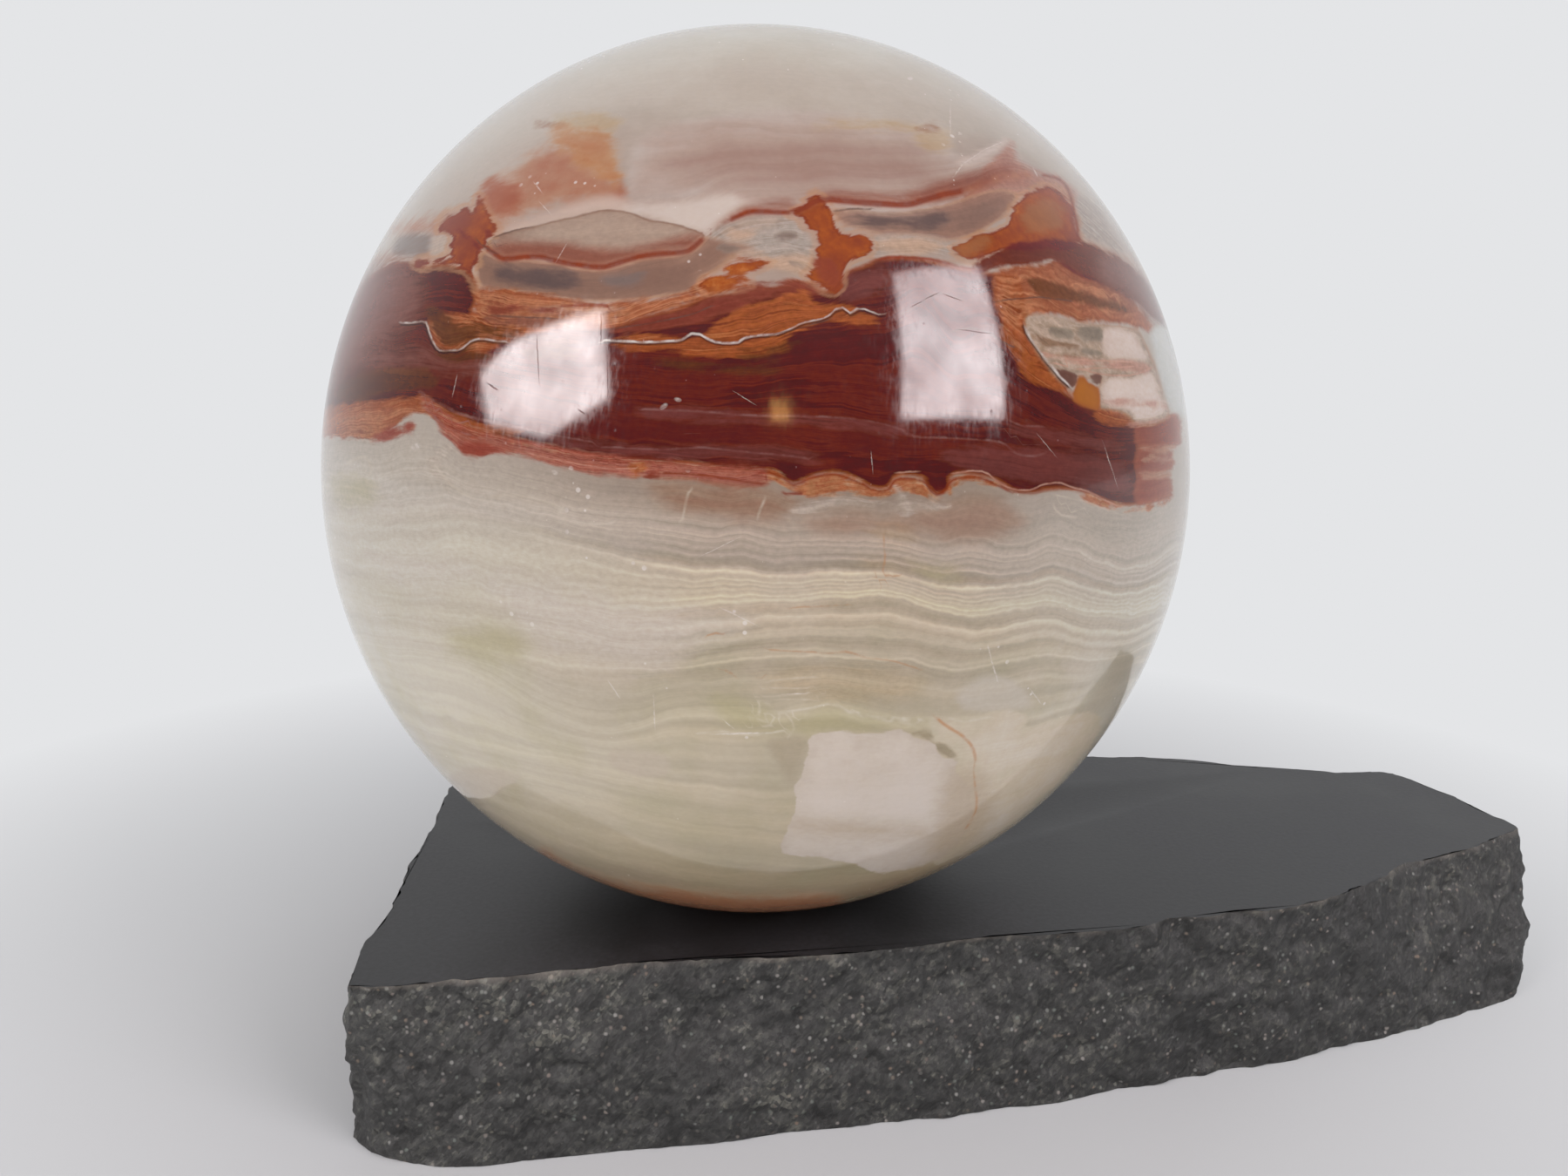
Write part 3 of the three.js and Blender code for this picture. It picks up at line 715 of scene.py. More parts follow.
         [1072,822, 1082,825, 1094,826, 1090,831, 1080,832, 1074,828],
         [1127,873, 1134,871, 1135,876, 1129,879],
     ]},
    {"name": "umberShade", "tones": ["#a98e7d", "#9c7e6a", "#936d5a"], "core": 20, "edge": 14, "ragged": 8,
     "by": {"depth": 0.9, "layer": 0.5, "cloud": 0.3}, "strength": 0.8, "banding": 0.3, "everywhere": True,
     "outlines": [
         [745,556, 800,556, 870,560, 915,574, 905,592, 880,602, 830,596, 770,584],
         [925,596, 975,588, 1020,592, 1085,578, 1130,570, 1165,586, 1176,604, 1140,620, 1085,622,
          1040,612, 960,614, 930,608],
     ]},
    {"name": "milk", "tones": ["#b2a396", "#c3b6aa"], "core": 5, "edge": 4, "ragged": 8,
     "by": {"depth": 0.5, "thread": 0.6, "hair": 0.7}, "strength": 0.65, "banding": 0.6, "everywhere": True,
     "outlines": [
         [905,586, 925,577, 960,573, 990,575, 1024,577, 1026,583, 990,581, 950,583, 915,591],
         [1026,558, 1034,562, 1044,572, 1090,579, 1084,584, 1052,584, 1042,592, 1036,590, 1032,578],
         [480,532, 500,522, 516,510, 522,514, 506,532, 520,556, 505,552, 492,536],
     ]},
    {"name": "goldenTint", "tones": ["#b29e81", "#ac8a5b"], "core": 8, "edge": 12, "ragged": 10,
     "by": {"depth": 0.6, "thread": 0.6}, "strength": 0.28, "banding": 0.5,
     "outlines": [
         [1004,602, 1040,606, 1046,622, 1006,620],
         [990,640, 1040,644, 1100,654, 1080,664, 1000,656],
         [870,776, 930,764, 1010,766, 1066,782, 1020,806, 930,804],
     ]},
    {"name": "mossTint", "tones": ["#b1a884", "#a89f75"], "core": 18, "edge": 14, "ragged": 10,
     "by": {"depth": 0.8, "cloud": 0.5}, "strength": 0.5, "banding": 0.15,
     "outlines": [
         [518,728, 545,722, 577,718, 600,726, 610,744, 580,756, 530,748],
         [385,548, 425,552, 425,578, 385,574],
         [820,800, 870,810, 890,830, 925,820, 950,812, 985,820, 1030,826, 1064,830, 1064,840, 1020,838,
          985,842, 930,846, 900,840, 840,836],
         [1050,650, 1085,652, 1102,662, 1080,670, 1060,662],
     ]},
    {"name": "frost", "tones": ["#c3b8ae", "#cbc0b8"], "core": 24, "edge": 24, "ragged": 20,
     "by": {"depth": 0.5, "cloud": 0.8, "layer": 0.6}, "strength": 0.55, "banding": 0.3,
     "outlines": [
         [560,668, 620,664, 700,686, 780,700, 860,716, 800,742, 740,770, 680,760, 600,722],
         [430,636, 500,640, 540,655, 500,668, 440,655],
     ]},
    {"name": "palePatch", "tones": ["#bcb2a6", "#c3b9ad"], "core": 8, "edge": 7, "ragged": 5,
     "by": {"depth": 0.6, "cloud": 0.5}, "strength": 0.7, "banding": 0.1,
     "outlines": [
         [1098,804, 1106,788, 1135,774, 1162,780, 1182,800, 1172,814, 1120,816],
     ]},
    {"name": "greyPatch", "tones": ["#c4bdae", "#b9b2a2", "#b2a999"], "core": 14, "edge": 10, "ragged": 6,
     "by": {"depth": 0.7, "cloud": 0.6}, "strength": 0.8, "banding": 0.1,
     "outlines": [
         [1236,826, 1246,796, 1262,764, 1280,754, 1300,748, 1298,776, 1288,804, 1264,830],
     ]},
    {"name": "oliveHollow", "tones": ["#aa9f8c", "#9f917b"], "core": 9, "edge": 6, "ragged": 5,
     "by": {"depth": 0.8, "cloud": 0.5}, "strength": 0.6, "banding": 0.15,
     "outlines": [
         [880,850, 920,844, 928,858, 922,878, 914,898, 902,896, 888,872],
     ]},
    {"name": "cream", "tones": ["#beb39c", "#c7b9a5", "#ccc1b3"], "core": 26, "edge": 2.5, "ragged": 5,
     "by": {"depth": 0.5, "cloud": 1.0, "layer": 0.3, "curdle": 0.2}, "strength": 0.95, "banding": 0.1,
     "outlines": [
         [1066,830, 1072,823, 1095,824, 1130,820, 1160,816, 1180,822, 1178,834, 1196,830, 1222,822,
          1262,820, 1256,850, 1240,868, 1225,888, 1195,918, 1165,944, 1130,967, 1095,985, 1070,985,
          1078,900, 1102,870, 1088,860, 1072,850],
     ]},
    {"name": "sunkenNotch", "tones": ["#a3967c", "#8f8068"], "core": 5, "edge": 2.5, "ragged": 3,
     "by": {"depth": 0.8, "cloud": 0.4}, "strength": 0.9, "banding": 0.1,
     "outlines": [
         [1046,842, 1068,838, 1072,850, 1088,856, 1098,868, 1090,870, 1076,862, 1070,852],
     ]},
    {"name": "chalk", "tones": ["#bcae9f", "#c8bbaf", "#cec2b8"], "core": 24, "edge": 1.5, "ragged": 4,
     "by": {"depth": 0.5, "cloud": 0.9, "curdle": 0.25}, "strength": 0.97, "banding": 0.06,
     "outlines": [
         [930,848, 936,842, 950,840, 966,838, 984,842, 1002,842, 1018,840, 1033,836, 1043,842, 1055,848,
          1070,852, 1077,864, 1088,872, 1100,872, 1096,884, 1110,900, 1116,930, 1104,962, 1078,986,
          1040,998, 1006,1001, 975,990, 930,983, 898,978, 900,962, 908,942, 914,922, 912,905, 919,892,
          924,874, 928,862],
     ]},
    {"name": "chalkShade", "tones": ["#b5a48e", "#ae9b82"], "core": 20, "edge": 16, "ragged": 8,
     "by": {"depth": 0.7, "cloud": 0.8, "layer": 0.5}, "strength": 0.7, "banding": 0.15,
     "outlines": [
         [1082,900, 1104,882, 1130,888, 1142,920, 1130,956, 1096,982, 1066,980, 1074,940],
         [925,940, 1000,944, 1060,950, 1060,962, 990,962, 920,956],
     ]},
    {"name": "palePocket", "tones": ["#b8ab9a", "#bcaf9f"], "core": 8, "edge": 5, "ragged": 5,
     "by": {"depth": 0.6, "cloud": 0.6}, "strength": 0.7, "banding": 0.1,
     "outlines": [
         [510,905, 525,886, 565,882, 600,890, 582,903, 566,912, 545,918],
         [700,862, 760,866, 765,890, 715,888],
     ]},
    {"name": "rustyFoot", "tones": ["#c99c7b", "#b37957", "#9f694d"], "core": 20, "edge": 10, "ragged": 6,
     "by": {"depth": 0.9, "cloud": 0.4}, "strength": 0.85, "banding": 0.15,
     "outlines": [
         [620,976, 660,998, 720,1016, 800,1024, 870,1030, 960,1030, 960,1062, 800,1062, 640,1030],
     ]},
]

# Thin lines in the stone. Each run has its half width, px, and the x,y places that it passes through.
lines = {
    "redGlow": {"tones": ["#a5583f", "#b57a5a"], "strength": 0.5, "soft": 3.5, "patchy": 0.5, "runs": [
        (4.2, [556,283, 566,290, 578,297, 606,295, 640,300, 690,307, 725,297, 745,293, 785,289, 806,275]),
        (4.5, [906,243, 925,238, 936,231, 948,229, 975,231, 1000,233, 1040,235, 1062,229, 1085,223,
               1115,216, 1150,204, 1185,200]),
        (4.0, [838,252, 850,247, 862,243, 880,243, 900,244, 912,243]),
    ]},
    "redLine": {"tones": ["#70251c", "#903f28"], "strength": 0.95, "soft": 1.5, "patchy": 0.3, "runs": [
        (3.0, [556,283, 566,290, 578,297, 606,295, 622,295, 640,300, 662,304, 690,307, 706,303, 725,297,
               745,293, 785,289, 796,284, 806,275]),
        (2.6, [838,252, 850,247, 862,243, 880,243, 900,244, 912,243]),
        (3.4, [910,243, 925,238, 936,231, 948,229, 975,231, 1000,233, 1040,235, 1062,229, 1085,223,
               1105,219]),
        (1.6, [1010,298, 1020,296, 1045,296, 1075,299, 1100,306, 1122,310]),
        (1.3, [640,352, 690,350, 700,354]),
        (1.3, [880,541, 900,549, 911,557, 935,548, 957,545, 985,553, 1003,563, 1020,562, 1030,550,
               1060,552, 1070,566, 1082,566, 1094,551, 1120,548, 1141,555, 1162,566]),
        (0.9, [760,543, 800,545, 850,552, 880,556]),
        (1.6, [1196,201, 1208,203, 1220,209, 1228,222, 1232,240, 1236,258, 1238,276]),
    ]},
    "fissure": {"tones": ["#9a8a80", "#dcd4ce"], "strength": 0.95, "soft": 0.8, "patchy": 0.55,
                "shadow": 2.2, "runs": [
        (0.9, [458,370, 470,371, 488,369, 492,380, 497,392, 504,402, 514,402, 524,402, 532,399, 540,392,
               552,389, 566,391, 582,392]),
        (1.2, [692,391, 700,391, 740,393, 760,392, 780,391, 787,387, 795,383, 803,384, 812,389, 822,393,
               835,394, 848,393, 855,388, 870,385, 890,384]),
        (0.7, [890,384, 905,379, 920,371, 940,367, 952,362, 960,354, 968,353, 978,361, 984,354, 995,356,
               1008,361, 1016,360]),
        (1.2, [1176,372, 1180,384, 1190,398, 1200,412, 1210,424, 1214,430]),
        (1.1, [1214,430, 1222,438, 1230,445]),
    ]},
    "darkLine": {"tones": ["#4a3029", "#6b5048"], "strength": 0.8, "soft": 0.7, "patchy": 0.5, "runs": [
        (0.8, [1036,360, 1058,347, 1064,341, 1075,338, 1084,336, 1095,341, 1106,345]),
        (1.0, [1088,381, 1115,377, 1135,382, 1148,391, 1166,400]),
        (0.9, [1142,346, 1180,342, 1200,342, 1232,346]),
        (1.2, [955,243, 975,240, 1000,240]),
        (0.9, [545,272, 552,280, 562,287, 572,292]),
        (0.8, [568,272, 590,265, 612,260]),
        (1.0, [640,366, 600,364, 560,362]),
        (0.8, [690,379, 740,372, 790,362, 820,350]),
        (0.7, [880,386, 920,376, 955,366]),
    ]},
    "lilacThread": {"tones": ["#84504b", "#a27f7b"], "strength": 0.5, "soft": 1.1, "patchy": 0.6, "runs": [
        (0.9, [735,470, 800,472, 860,477, 930,478, 980,481, 1020,488, 1050,500]),
        (0.8, [690,513, 730,515, 760,516, 800,514, 830,516, 870,520, 905,523, 930,527]),
        (1.0, [1036,500, 1060,502, 1100,503, 1150,508, 1165,520, 1185,524, 1200,520]),
        (0.7, [1155,480, 1170,488, 1200,490]),
        (1.6, [482,449, 495,458, 510,466, 525,474, 545,480, 570,486, 610,494]),
        (1.1, [482,462, 492,472, 504,484, 516,492, 540,500]),
        (0.8, [610,494, 660,504, 700,510]),
    ]},
    "edgeThread": {"tones": ["#b9806e", "#cfa592"], "strength": 0.7, "soft": 0.7, "patchy": 0.3, "runs": [
        (0.8, [1028,543, 1058,541]),
        (0.9, [1092,544, 1110,541, 1130,542, 1142,550, 1158,560, 1180,563, 1196,557, 1215,554, 1232,560,
               1252,565, 1270,575, 1288,583]),
        (0.6, [605,520, 660,532, 700,538, 730,538]),
        (0.8, [1196,403, 1212,410, 1235,413, 1262,414, 1300,416]),
        (1.0, [1206,416, 1240,424, 1270,430, 1295,431, 1312,427, 1322,422]),
    ]},
    "rustThread": {"tones": ["#a8622f", "#bd9066"], "strength": 0.75, "soft": 1.1, "patchy": 0.8, "runs": [
        (1.0, [1014,612, 1016,640, 1014,650, 1013,664]),
        (0.8, [1004,663, 1020,662, 1033,661]),
        (0.7, [880,746, 920,748, 955,750]),
        (1.3, [955,750, 968,748, 980,750, 990,754]),
        (0.6, [992,755, 1020,758, 1040,763, 1060,770]),
        (0.9, [1036,762, 1056,768]),
        (0.9, [812,730, 822,727, 832,728]),
        (1.2, [830,768, 840,773, 848,779]),
        (0.8, [868,778, 876,778]),
        (0.6, [905,698, 940,696, 975,694]),
        (1.7, [1074,822, 1080,829, 1090,836, 1102,843, 1111,851, 1117,860, 1120,872]),
        (0.8, [1120,872, 1118,884, 1119,900]),
        (1.2, [1119,900, 1121,918, 1120,930, 1116,940, 1108,952]),
    ]},
    "creamThread": {"tones": ["#c5b9a6", "#d4c9ba"], "strength": 0.6, "soft": 1.2, "patchy": 0.6, "runs": [
        (0.8, [1208,568, 1240,574, 1262,582, 1290,592]),
        (1.4, [496,530, 508,545, 522,560, 545,572, 562,574]),
        (1.0, [560,570, 590,568, 620,574, 650,585]),
        (1.3, [396,534, 410,526, 420,525, 426,536, 424,546]),
        (0.9, [640,592, 665,600, 690,602, 705,600]),
        (1.4, [791,562, 787,580, 783,598]),
        (1.4, [878,572, 873,585, 869,596]),
        (1.1, [800,842, 830,840, 860,844, 880,842, 905,838]),
        (0.8, [875,800, 905,798, 928,796]),
        (0.8, [880,782, 910,779, 940,777]),
        (1.2, [870,820, 905,817, 935,812, 955,808, 975,815, 1000,822, 1030,824, 1062,827]),
        (0.8, [960,812, 985,822, 1020,828, 1050,832]),
        (1.0, [1208,578, 1212,586, 1220,592, 1236,594]),
        (1.2, [1200,664, 1215,668, 1235,673]),
        (1.4, [1088,824, 1110,828, 1140,822]),
        (0.8, [868,800, 872,812, 866,826]), (0.8, [880,806, 890,818, 884,832]),
        (0.8, [904,822, 912,834, 906,846]), (0.8, [858,822, 872,826, 884,834]),
        (0.9, [660,690, 700,704, 760,712, 820,714]),
        (0.8, [690,722, 730,734, 780,740]),
        (0.8, [600,700, 640,716, 690,738]),
    ]},
}

# Bruises in the polish: where each starts and ends and its half width, px. Chips are short and broad.
scratches = [
    (476, 513, 480, 512, 4), (636, 542, 638, 543, 2.6), (655, 537, 656, 538, 2.6),
    (760, 468, 764, 465, 2.8), (776, 458, 780, 459, 2.4), (1044, 90, 1046, 90, 2.2),
    (613, 209, 622, 221, 0.9), (619, 231, 633, 247, 0.7), (651, 279, 638, 301, 0.6),
    (1091, 120, 1091, 156, 0.7), (1094, 203, 1106, 188, 0.8), (1104, 189, 1130, 172, 0.7),
    (1128, 173, 1152, 162, 0.6), (1186, 193, 1191, 202, 0.8), (525, 431, 519, 456, 0.6),
    (842, 449, 868, 465, 0.5), (1000, 519, 1002, 543, 0.6), (1266, 507, 1283, 559, 0.6),
    (1190, 497, 1213, 525, 0.4), (698, 781, 712, 802, 0.8), (802, 640, 850, 616, 0.5),
    (826, 697, 871, 719, 0.8), (750, 798, 752, 838, 0.9), (1134, 741, 1138, 756, 1.0),
    (1137, 754, 1146, 784, 1.0), (1183, 791, 1195, 808, 0.9), (898, 797, 928, 796, 0.7),
    (819, 843, 889, 841, 1.2), (830, 826, 843, 837, 0.7),
]

# Worn lines in the polish, which break up what it mirrors
wear = [
    (616, 384, 619, 442, 0.8), (560, 440, 572, 448, 1.1), (690, 360, 690, 396, 0.7),
    (697, 388, 698, 464, 0.7), (664, 470, 672, 476, 1.0), (1046, 352, 1060, 345, 0.6),
    (1060, 344, 1078, 336, 0.7), (1082, 337, 1106, 346, 0.7), (1096, 378, 1138, 383, 0.7),
]

# where the polish is pricked with tiny white dots, px
pricked = [
    [795,634, 850,612, 860,618, 802,646], [700,645, 745,650, 748,668, 702,664],
    [655,545, 690,545, 690,640, 655,630], [604,205, 670,198, 690,228, 610,226],
    [835,700, 865,705, 866,735, 840,735], [780,288, 820,288, 822,304, 782,306],
    [1085,110, 1102,110, 1098,215, 1086,212], [850,836, 910,834, 905,848, 850,848],
    [700,740, 770,750, 775,790, 720,780], [1120,735, 1150,735, 1160,790, 1130,790],
    [780,545, 796,545, 796,556, 780,556], [985,246, 1020,246, 1020,256, 985,256],
    [560,690, 590,680, 640,720, 610,730], [1160,775, 1180,780, 1210,815, 1190,815],
]

# The stone's unevenness: along its layers or through its body, repeats per mm, and how fine it goes
grains = {
    "layer": {"along": "bed", "scale": (0.03, 0.03, 0.7), "detail": 2},
    "thread": {"along": "bed", "scale": (0.05, 0.05, 1.8), "detail": 3},
    "hair": {"along": "bed", "scale": (0.035, 0.035, 4.5), "detail": 2},
    "torn": {"along": "bed", "scale": (0.35, 0.35, 1.1), "detail": 4},
    "cloud": {"along": "body", "scale": (0.12, 0.12, 0.12), "detail": 4},
    "curdle": {"along": "body", "scale": (0.7, 0.7, 0.7), "detail": 4},
    "mottle": {"along": "body", "scale": (1.8, 1.8, 2.6), "detail": 4},
}

noiseSpan = (0.3, 0.7)  # where nearly all of a noise's values lie
layerBend = {"scale": 0.2, "height": 0.35}  # repeats per mm, and mm up and down

# The pale stone by its level, mm
paleTones = [
    (2, "#cbc7bd"), (8, "#c5bdb2"), (12, "#c0b5aa"), (14, "#b9aca1"), (16, "#b3a196"), (19, "#ab978d"),
    (21, "#a58d84"), (23, "#a98f86"), (26, "#b5a096"), (57, "#a08e81"), (60, "#a8988a"), (64, "#b1a294"),
    (66, "#bbae9c"), (68, "#beb19e"), (72, "#bcae9a"), (76, "#b8ab97"), (80, "#b8ad98"), (88, "#bcb19d"),
    (94, "#b9ad96"), (99, "#b3a58b"), (103, "#9f8a72"),
]

# The fine layers below the red band, in two stacks: level, px, and how white (up to 1) or dark
# (down to -1) each is
fineLayers = {
    "upper": [
        (600, 0), (606, 0.25), (609, -0.15), (614, 0.3), (619, 0.55), (621, 0), (625, 0.45), (628, -0.1),
        (632, 0.2), (636, -0.3), (642, 0.45), (644, -0.2), (649, -0.6), (653, -0.5), (656, 0.2), (659, 1),
        (662, 0.4), (665, 0.1), (668, 0.6), (670, 0.1), (673, 0.5), (675, -0.05), (678, 0.45), (680, 0.1),
        (684, 0.8), (686, 0.2), (689, 0.65), (692, 0), (697, -0.3), (700, -0.3),
    ],
    "lower": [
        (700, -0.3), (705, -0.1), (708, 0.65), (711, 0.4), (714, 0), (718, -0.2), (722, 0.4), (727, 0.5),
        (731, 0), (736, -0.3), (741, -0.2), (746, 0.3), (750, 0.15), (753, 0.7), (756, -0.1), (764, -0.25),
        (772, -0.2), (779, 0.3), (783, -0.1), (795, -0.2), (808, -0.1), (815, 0.25), (822, 0.35),
        (828, -0.2), (840, 0),
    ],
}

# The pale stone's look. Places across the ball are in the photograph's px / 10, levels in mm.
paleLook = {
    "levels": 110,  # what the tones above span
    "stray": 2.0,  # mm by which they leave their level
    # rim: whiter towards both rims, partly paler stone and partly painted sheen
    "rimPaleAndSheen": "#c9c4ba", "rim": 0.6, "leftRim": (80, 42), "rightRim": (106, 134),
    "mossTone": "#b3ac90", "moss": 0.6, "mossFrom": (66, 76), "mossClouds": (-0.2, 0.5),
    "broad": 0.6, "broadFrom": (55, 60), "broadShades": ((0.47,) * 3, (0.64,) * 3),
    "fine": 0.27,  # how far fine layers go from the stone's own colour
    "leftSpan": (58, 86), "leftClear": (0.12, 0.95),
    "rightSpan": (106, 120), "rightClear": (1, 0.7),
    "patches": (-0.5, 0.2), "patchClear": (0.4, 1),
    "hairs": 0.5,  # their share among the threads
    "mottled": (0.9, 0.02),  # share of the threads' clearness, and how clear mottling is without any
}

# How strongly each of these comes and goes: the range of what it follows, and its strength at both ends
comesAndGoes = {
    "rims": ((-0.4, 0.2), (0.35, 1)),
    "hairs": ((-0.5, 0.5), (0.3, 0.7)),
    "mottle": ((-0.5, 0.5), (0.34, 0.66)),
    "bruises": ((-0.4, 0.3), (0.1, 0.6)),
    "pricks by size": ((0.25, 1), (0, 0.3)),
    "pricks": ((0, 0.08), (0, 0.75)),
    "pits by size": ((0.72, 1), (0, 0.26)),
    "pits": ((0, 0.12), (0, 0.5)),
    "blotches": ((0, 0.5), (0, 0.16)),
    "scratches": ((0.4, 0.75), (0.06, 0.15)),
}

# How clearly threads of colour show in the pale stone: above, under the red band and low down
paleBanding = {"above": 0.06, "under": 0.28, "low": 0.08, "sets in": (54, 58), "fades": (66, 84)}
# Across one thread, how light it is (0.5 leaves the stone as it is)
threadShades = [
    (0, 0.40), (0.24, 0.52), (0.31, 0.66), (0.36, 0.50), (0.45, 0.44), (0.50, 0.52), (0.54, 0.64),
    (0.59, 0.47), (0.68, 0.40), (0.74, 0.56), (0.80, 0.47), (1, 0.60),
]

# The tones are as they look in the photograph. They are taken this much darker where the room lights
# the ball fully, and less so low down, where only the cloth does: painted light, which makes the lower
# ball lighter in place of light that the room doesn't bring there. haze: what the polish's reflections add
paintedLightByLevel = {"full": 0.64, "low": 0.91, "from": 62, "to": 96, "haze": (-0.009, -0.010, -0.011),
               "least": (0.003, 0.002, 0.002)}


def photoPlace(points):
    # where points of the object fall in the photograph, px
    pitch = math.radians(photoView["pitch"])
    ahead = np.array((0, math.cos(pitch), -math.sin(pitch)))
    up = np.array((0, math.sin(pitch), math.cos(pitch)))
    focalPx = photoView["focal"] / photoView["sensor"] * photoView["width"]
    away = points - np.array(photoView["place"])
    scale = focalPx / (away @ ahead)
    return photoView["width"] / 2 + scale * away[:, 0], photoView["height"] / 2 - scale * (away @ up)


def noiseAt(points, size, seed):
    # smooth noise from -1 to 1, with lumps of this size in metres
    return np.array([noise.noise(Vector(p) / size + Vector((seed, 3 * seed, 0))) for p in points])


def bends(points, wanted):
    return sum(amount * noiseAt(points, size, seed) for amount, size, seed in wanted)


def smoothStep(value, low, high):
    share = np.clip((value - low) / (high - low), 0, 1)
    return share * share * (3 - 2 * share)


def inPairs(numbers):
    # the places of an outline, one to a row
    return np.array(numbers, float).reshape(-1, 2)


def throughPoints(numbers, closed, steps=4):
    # a smooth curve through the places given
    corners = inPairs(numbers)
    if closed:
        before, after, later = np.roll(corners, 1, 0), np.roll(corners, -1, 0), np.roll(corners, -2, 0)
        start = corners
    else:
        padded = np.vstack([corners[:1], corners, corners[-1:]])
        before, start, after, later = padded[:-3], padded[1:-2], padded[2:-1], padded[3:]
    t = np.linspace(0, 1, steps, endpoint=False)[None, :, None]
    before, start, after, later = [p[:, None, :] for p in (before, start, after, later)]
    curve = 0.5 * (2 * start + (after - before) * t + (2 * before - 5 * start + 4 * after - later) * t**2
                   + (3 * start - before - 3 * after + later) * t**3)
    curve = curve.reshape(-1, 2)
    return curve if closed else np.vstack([curve, corners[-1:]])


def heightAlong(x, numbers):
    # the height of a smooth curve through the places given, at each x
    places, heights = inPairs(numbers).T
    slopes = np.gradient(heights, places)
    i = np.clip(np.searchsorted(places, x) - 1, 0, len(places) - 2)
    width = places[i + 1] - places[i]
    t = np.clip((x - places[i]) / width, 0, 1)
    start = heights[i] * (1 + 2 * t) * (1 - t)**2 + slopes[i] * width * t * (1 - t)**2
    end = heights[i + 1] * t * t * (3 - 2 * t) - slopes[i + 1] * width * t * t * (1 - t)
    return start + end


def nearestOn(x, y, starts, ends):
    # for each place: the gap to each stretch of a curve, how far along that stretch it is, and which side
    way = ends - starts
    acrossX = x[:, None] - starts[:, 0]
    acrossY = y[:, None] - starts[:, 1]
    along = (acrossX * way[:, 0] + acrossY * way[:, 1]) / np.maximum((way**2).sum(1), 1e-9)
    held = np.clip(along, 0, 1)
    gap = np.hypot(acrossX - held * way[:, 0], acrossY - held * way[:, 1])
    side = np.sign(way[:, 0] * acrossY - way[:, 1] * acrossX)
    return gap, along, side


def depthInside(x, y, outline):
    # how far each place is inside an outline, px, negative outside it
    reach = ball["reach"]
    curve = throughPoints(outline, closed=True)
    low, high = curve.min(0) - reach, curve.max(0) + reach
    near = (x > low[0]) & (x < high[0]) & (y > low[1]) & (y < high[1])
    depth = np.full(len(x), -float(reach))
    nearX, nearY = x[near], y[near]
    ends = np.roll(curve, -1, 0)
    gap = nearestOn(nearX, nearY, curve, ends)[0].min(1)
    rise = ends[:, 1] - curve[:, 1]
    rise[rise == 0] = 1e-9
    crosses = (curve[:, 1] > nearY[:, None]) != (ends[:, 1] > nearY[:, None])
    meets = curve[:, 0] + (ends[:, 0] - curve[:, 0]) * (nearY[:, None] - curve[:, 1]) / rise
    inside = (crosses & (nearX[:, None] < meets)).sum(1) % 2 == 1
    depth[near] = np.where(inside, gap, -gap)
    return np.clip(depth, -reach, reach)


def besideLines(x, y, runs):
    # signed gap to the nearest line, how strong it is there, and its half width
    reach = ball["lineReach"]
    best = np.full(len(x), 1e3)
    found = np.zeros((len(x), 3))
    found[:, 0] = reach
    found[:, 2] = 1
    for halfWidth, numbers in runs:
        curve = throughPoints(numbers, closed=False)
        low, high = curve.min(0) - 2 * reach, curve.max(0) + 2 * reach
        near = np.flatnonzero((x > low[0]) & (x < high[0]) & (y > low[1]) & (y < high[1]))
        gap, along, side = nearestOn(x[near], y[near], curve[:-1], curve[1:])
        nearest = gap.argmin(1)
        rows = np.arange(len(near))
        gap, along, side = gap[rows, nearest], along[rows, nearest], side[rows, nearest]
        past = ((nearest == 0) & (along < 0)) | ((nearest == len(curve) - 2) & (along > 1))
        closer = gap < best[near]
        chosen = near[closer]
        best[chosen] = gap[closer]
        found[chosen, 0] = (gap * side)[closer]
        found[chosen, 1] = np.where(past | (gap > reach), 0, 1)[closer]
        found[chosen, 2] = halfWidth
    return found


def levelThrough(x, y):
    # the level of the bedding at each place, between the levels listed
    levels = sorted(bedding)
    heights = [heightAlong(x, bedding[level]) for level in levels]
    for i in range(1, len(heights)):
        heights[i] = np.maximum(heights[i], heights[i - 1] + ball["levelGap"])
    value = levels[0] + (y - heights[0]) * ball["topSpread"]
    for i in range(len(levels) - 1):
        share = (y - heights[i]) / (heights[i + 1] - heights[i])
        value = np.where(share > 0, levels[i] + share * (levels[i + 1] - levels[i]), value)
    return value


def inPhotograph(points):
    # The place in the photograph that each point of the ball takes its marks from. Past the outline the
    # marks carry on round the back, at their own height, stretched and drawn out of shape.
    local = points - np.array(ballCentre)
    azimuth = np.degrees(np.arctan2(local[:, 0], -local[:, 1]))
    seen, meets = ball["seenTo"], ball["meetsAt"]
    hidden = np.clip((np.abs(azimuth) - seen) / (180 - seen), 0, 1)
    side = np.where(azimuth < 0, -1, 1)
    folded = np.where(hidden > 0, side * seen + (meets - side * seen) * hidden, azimuth)
    across = np.hypot(local[:, 0], local[:, 1])
    turned = np.stack([across * np.sin(np.radians(folded)), -across * np.cos(np.radians(folded)),
                       local[:, 2]], 1)
    x, y = photoPlace(turned + np.array(ballCentre))
    start, end = ball["goesBehind"]
    behind = smoothStep(np.abs(azimuth), seen + start, seen + end)
    x = x + behind * bends(points, ball["bendsAcross"])
    y = y + behind * bends(points, ball["bendsUp"])
    return x, y, behind


def setAttribute(mesh, name, values):
    kind = "FLOAT" if values.ndim == 1 else "FLOAT_VECTOR"
    field = "value" if values.ndim == 1 else "vector"
    attribute = mesh.attributes.new(name, kind, "POINT")
    attribute.data.foreach_set(field, values.astype(np.float32).ravel())


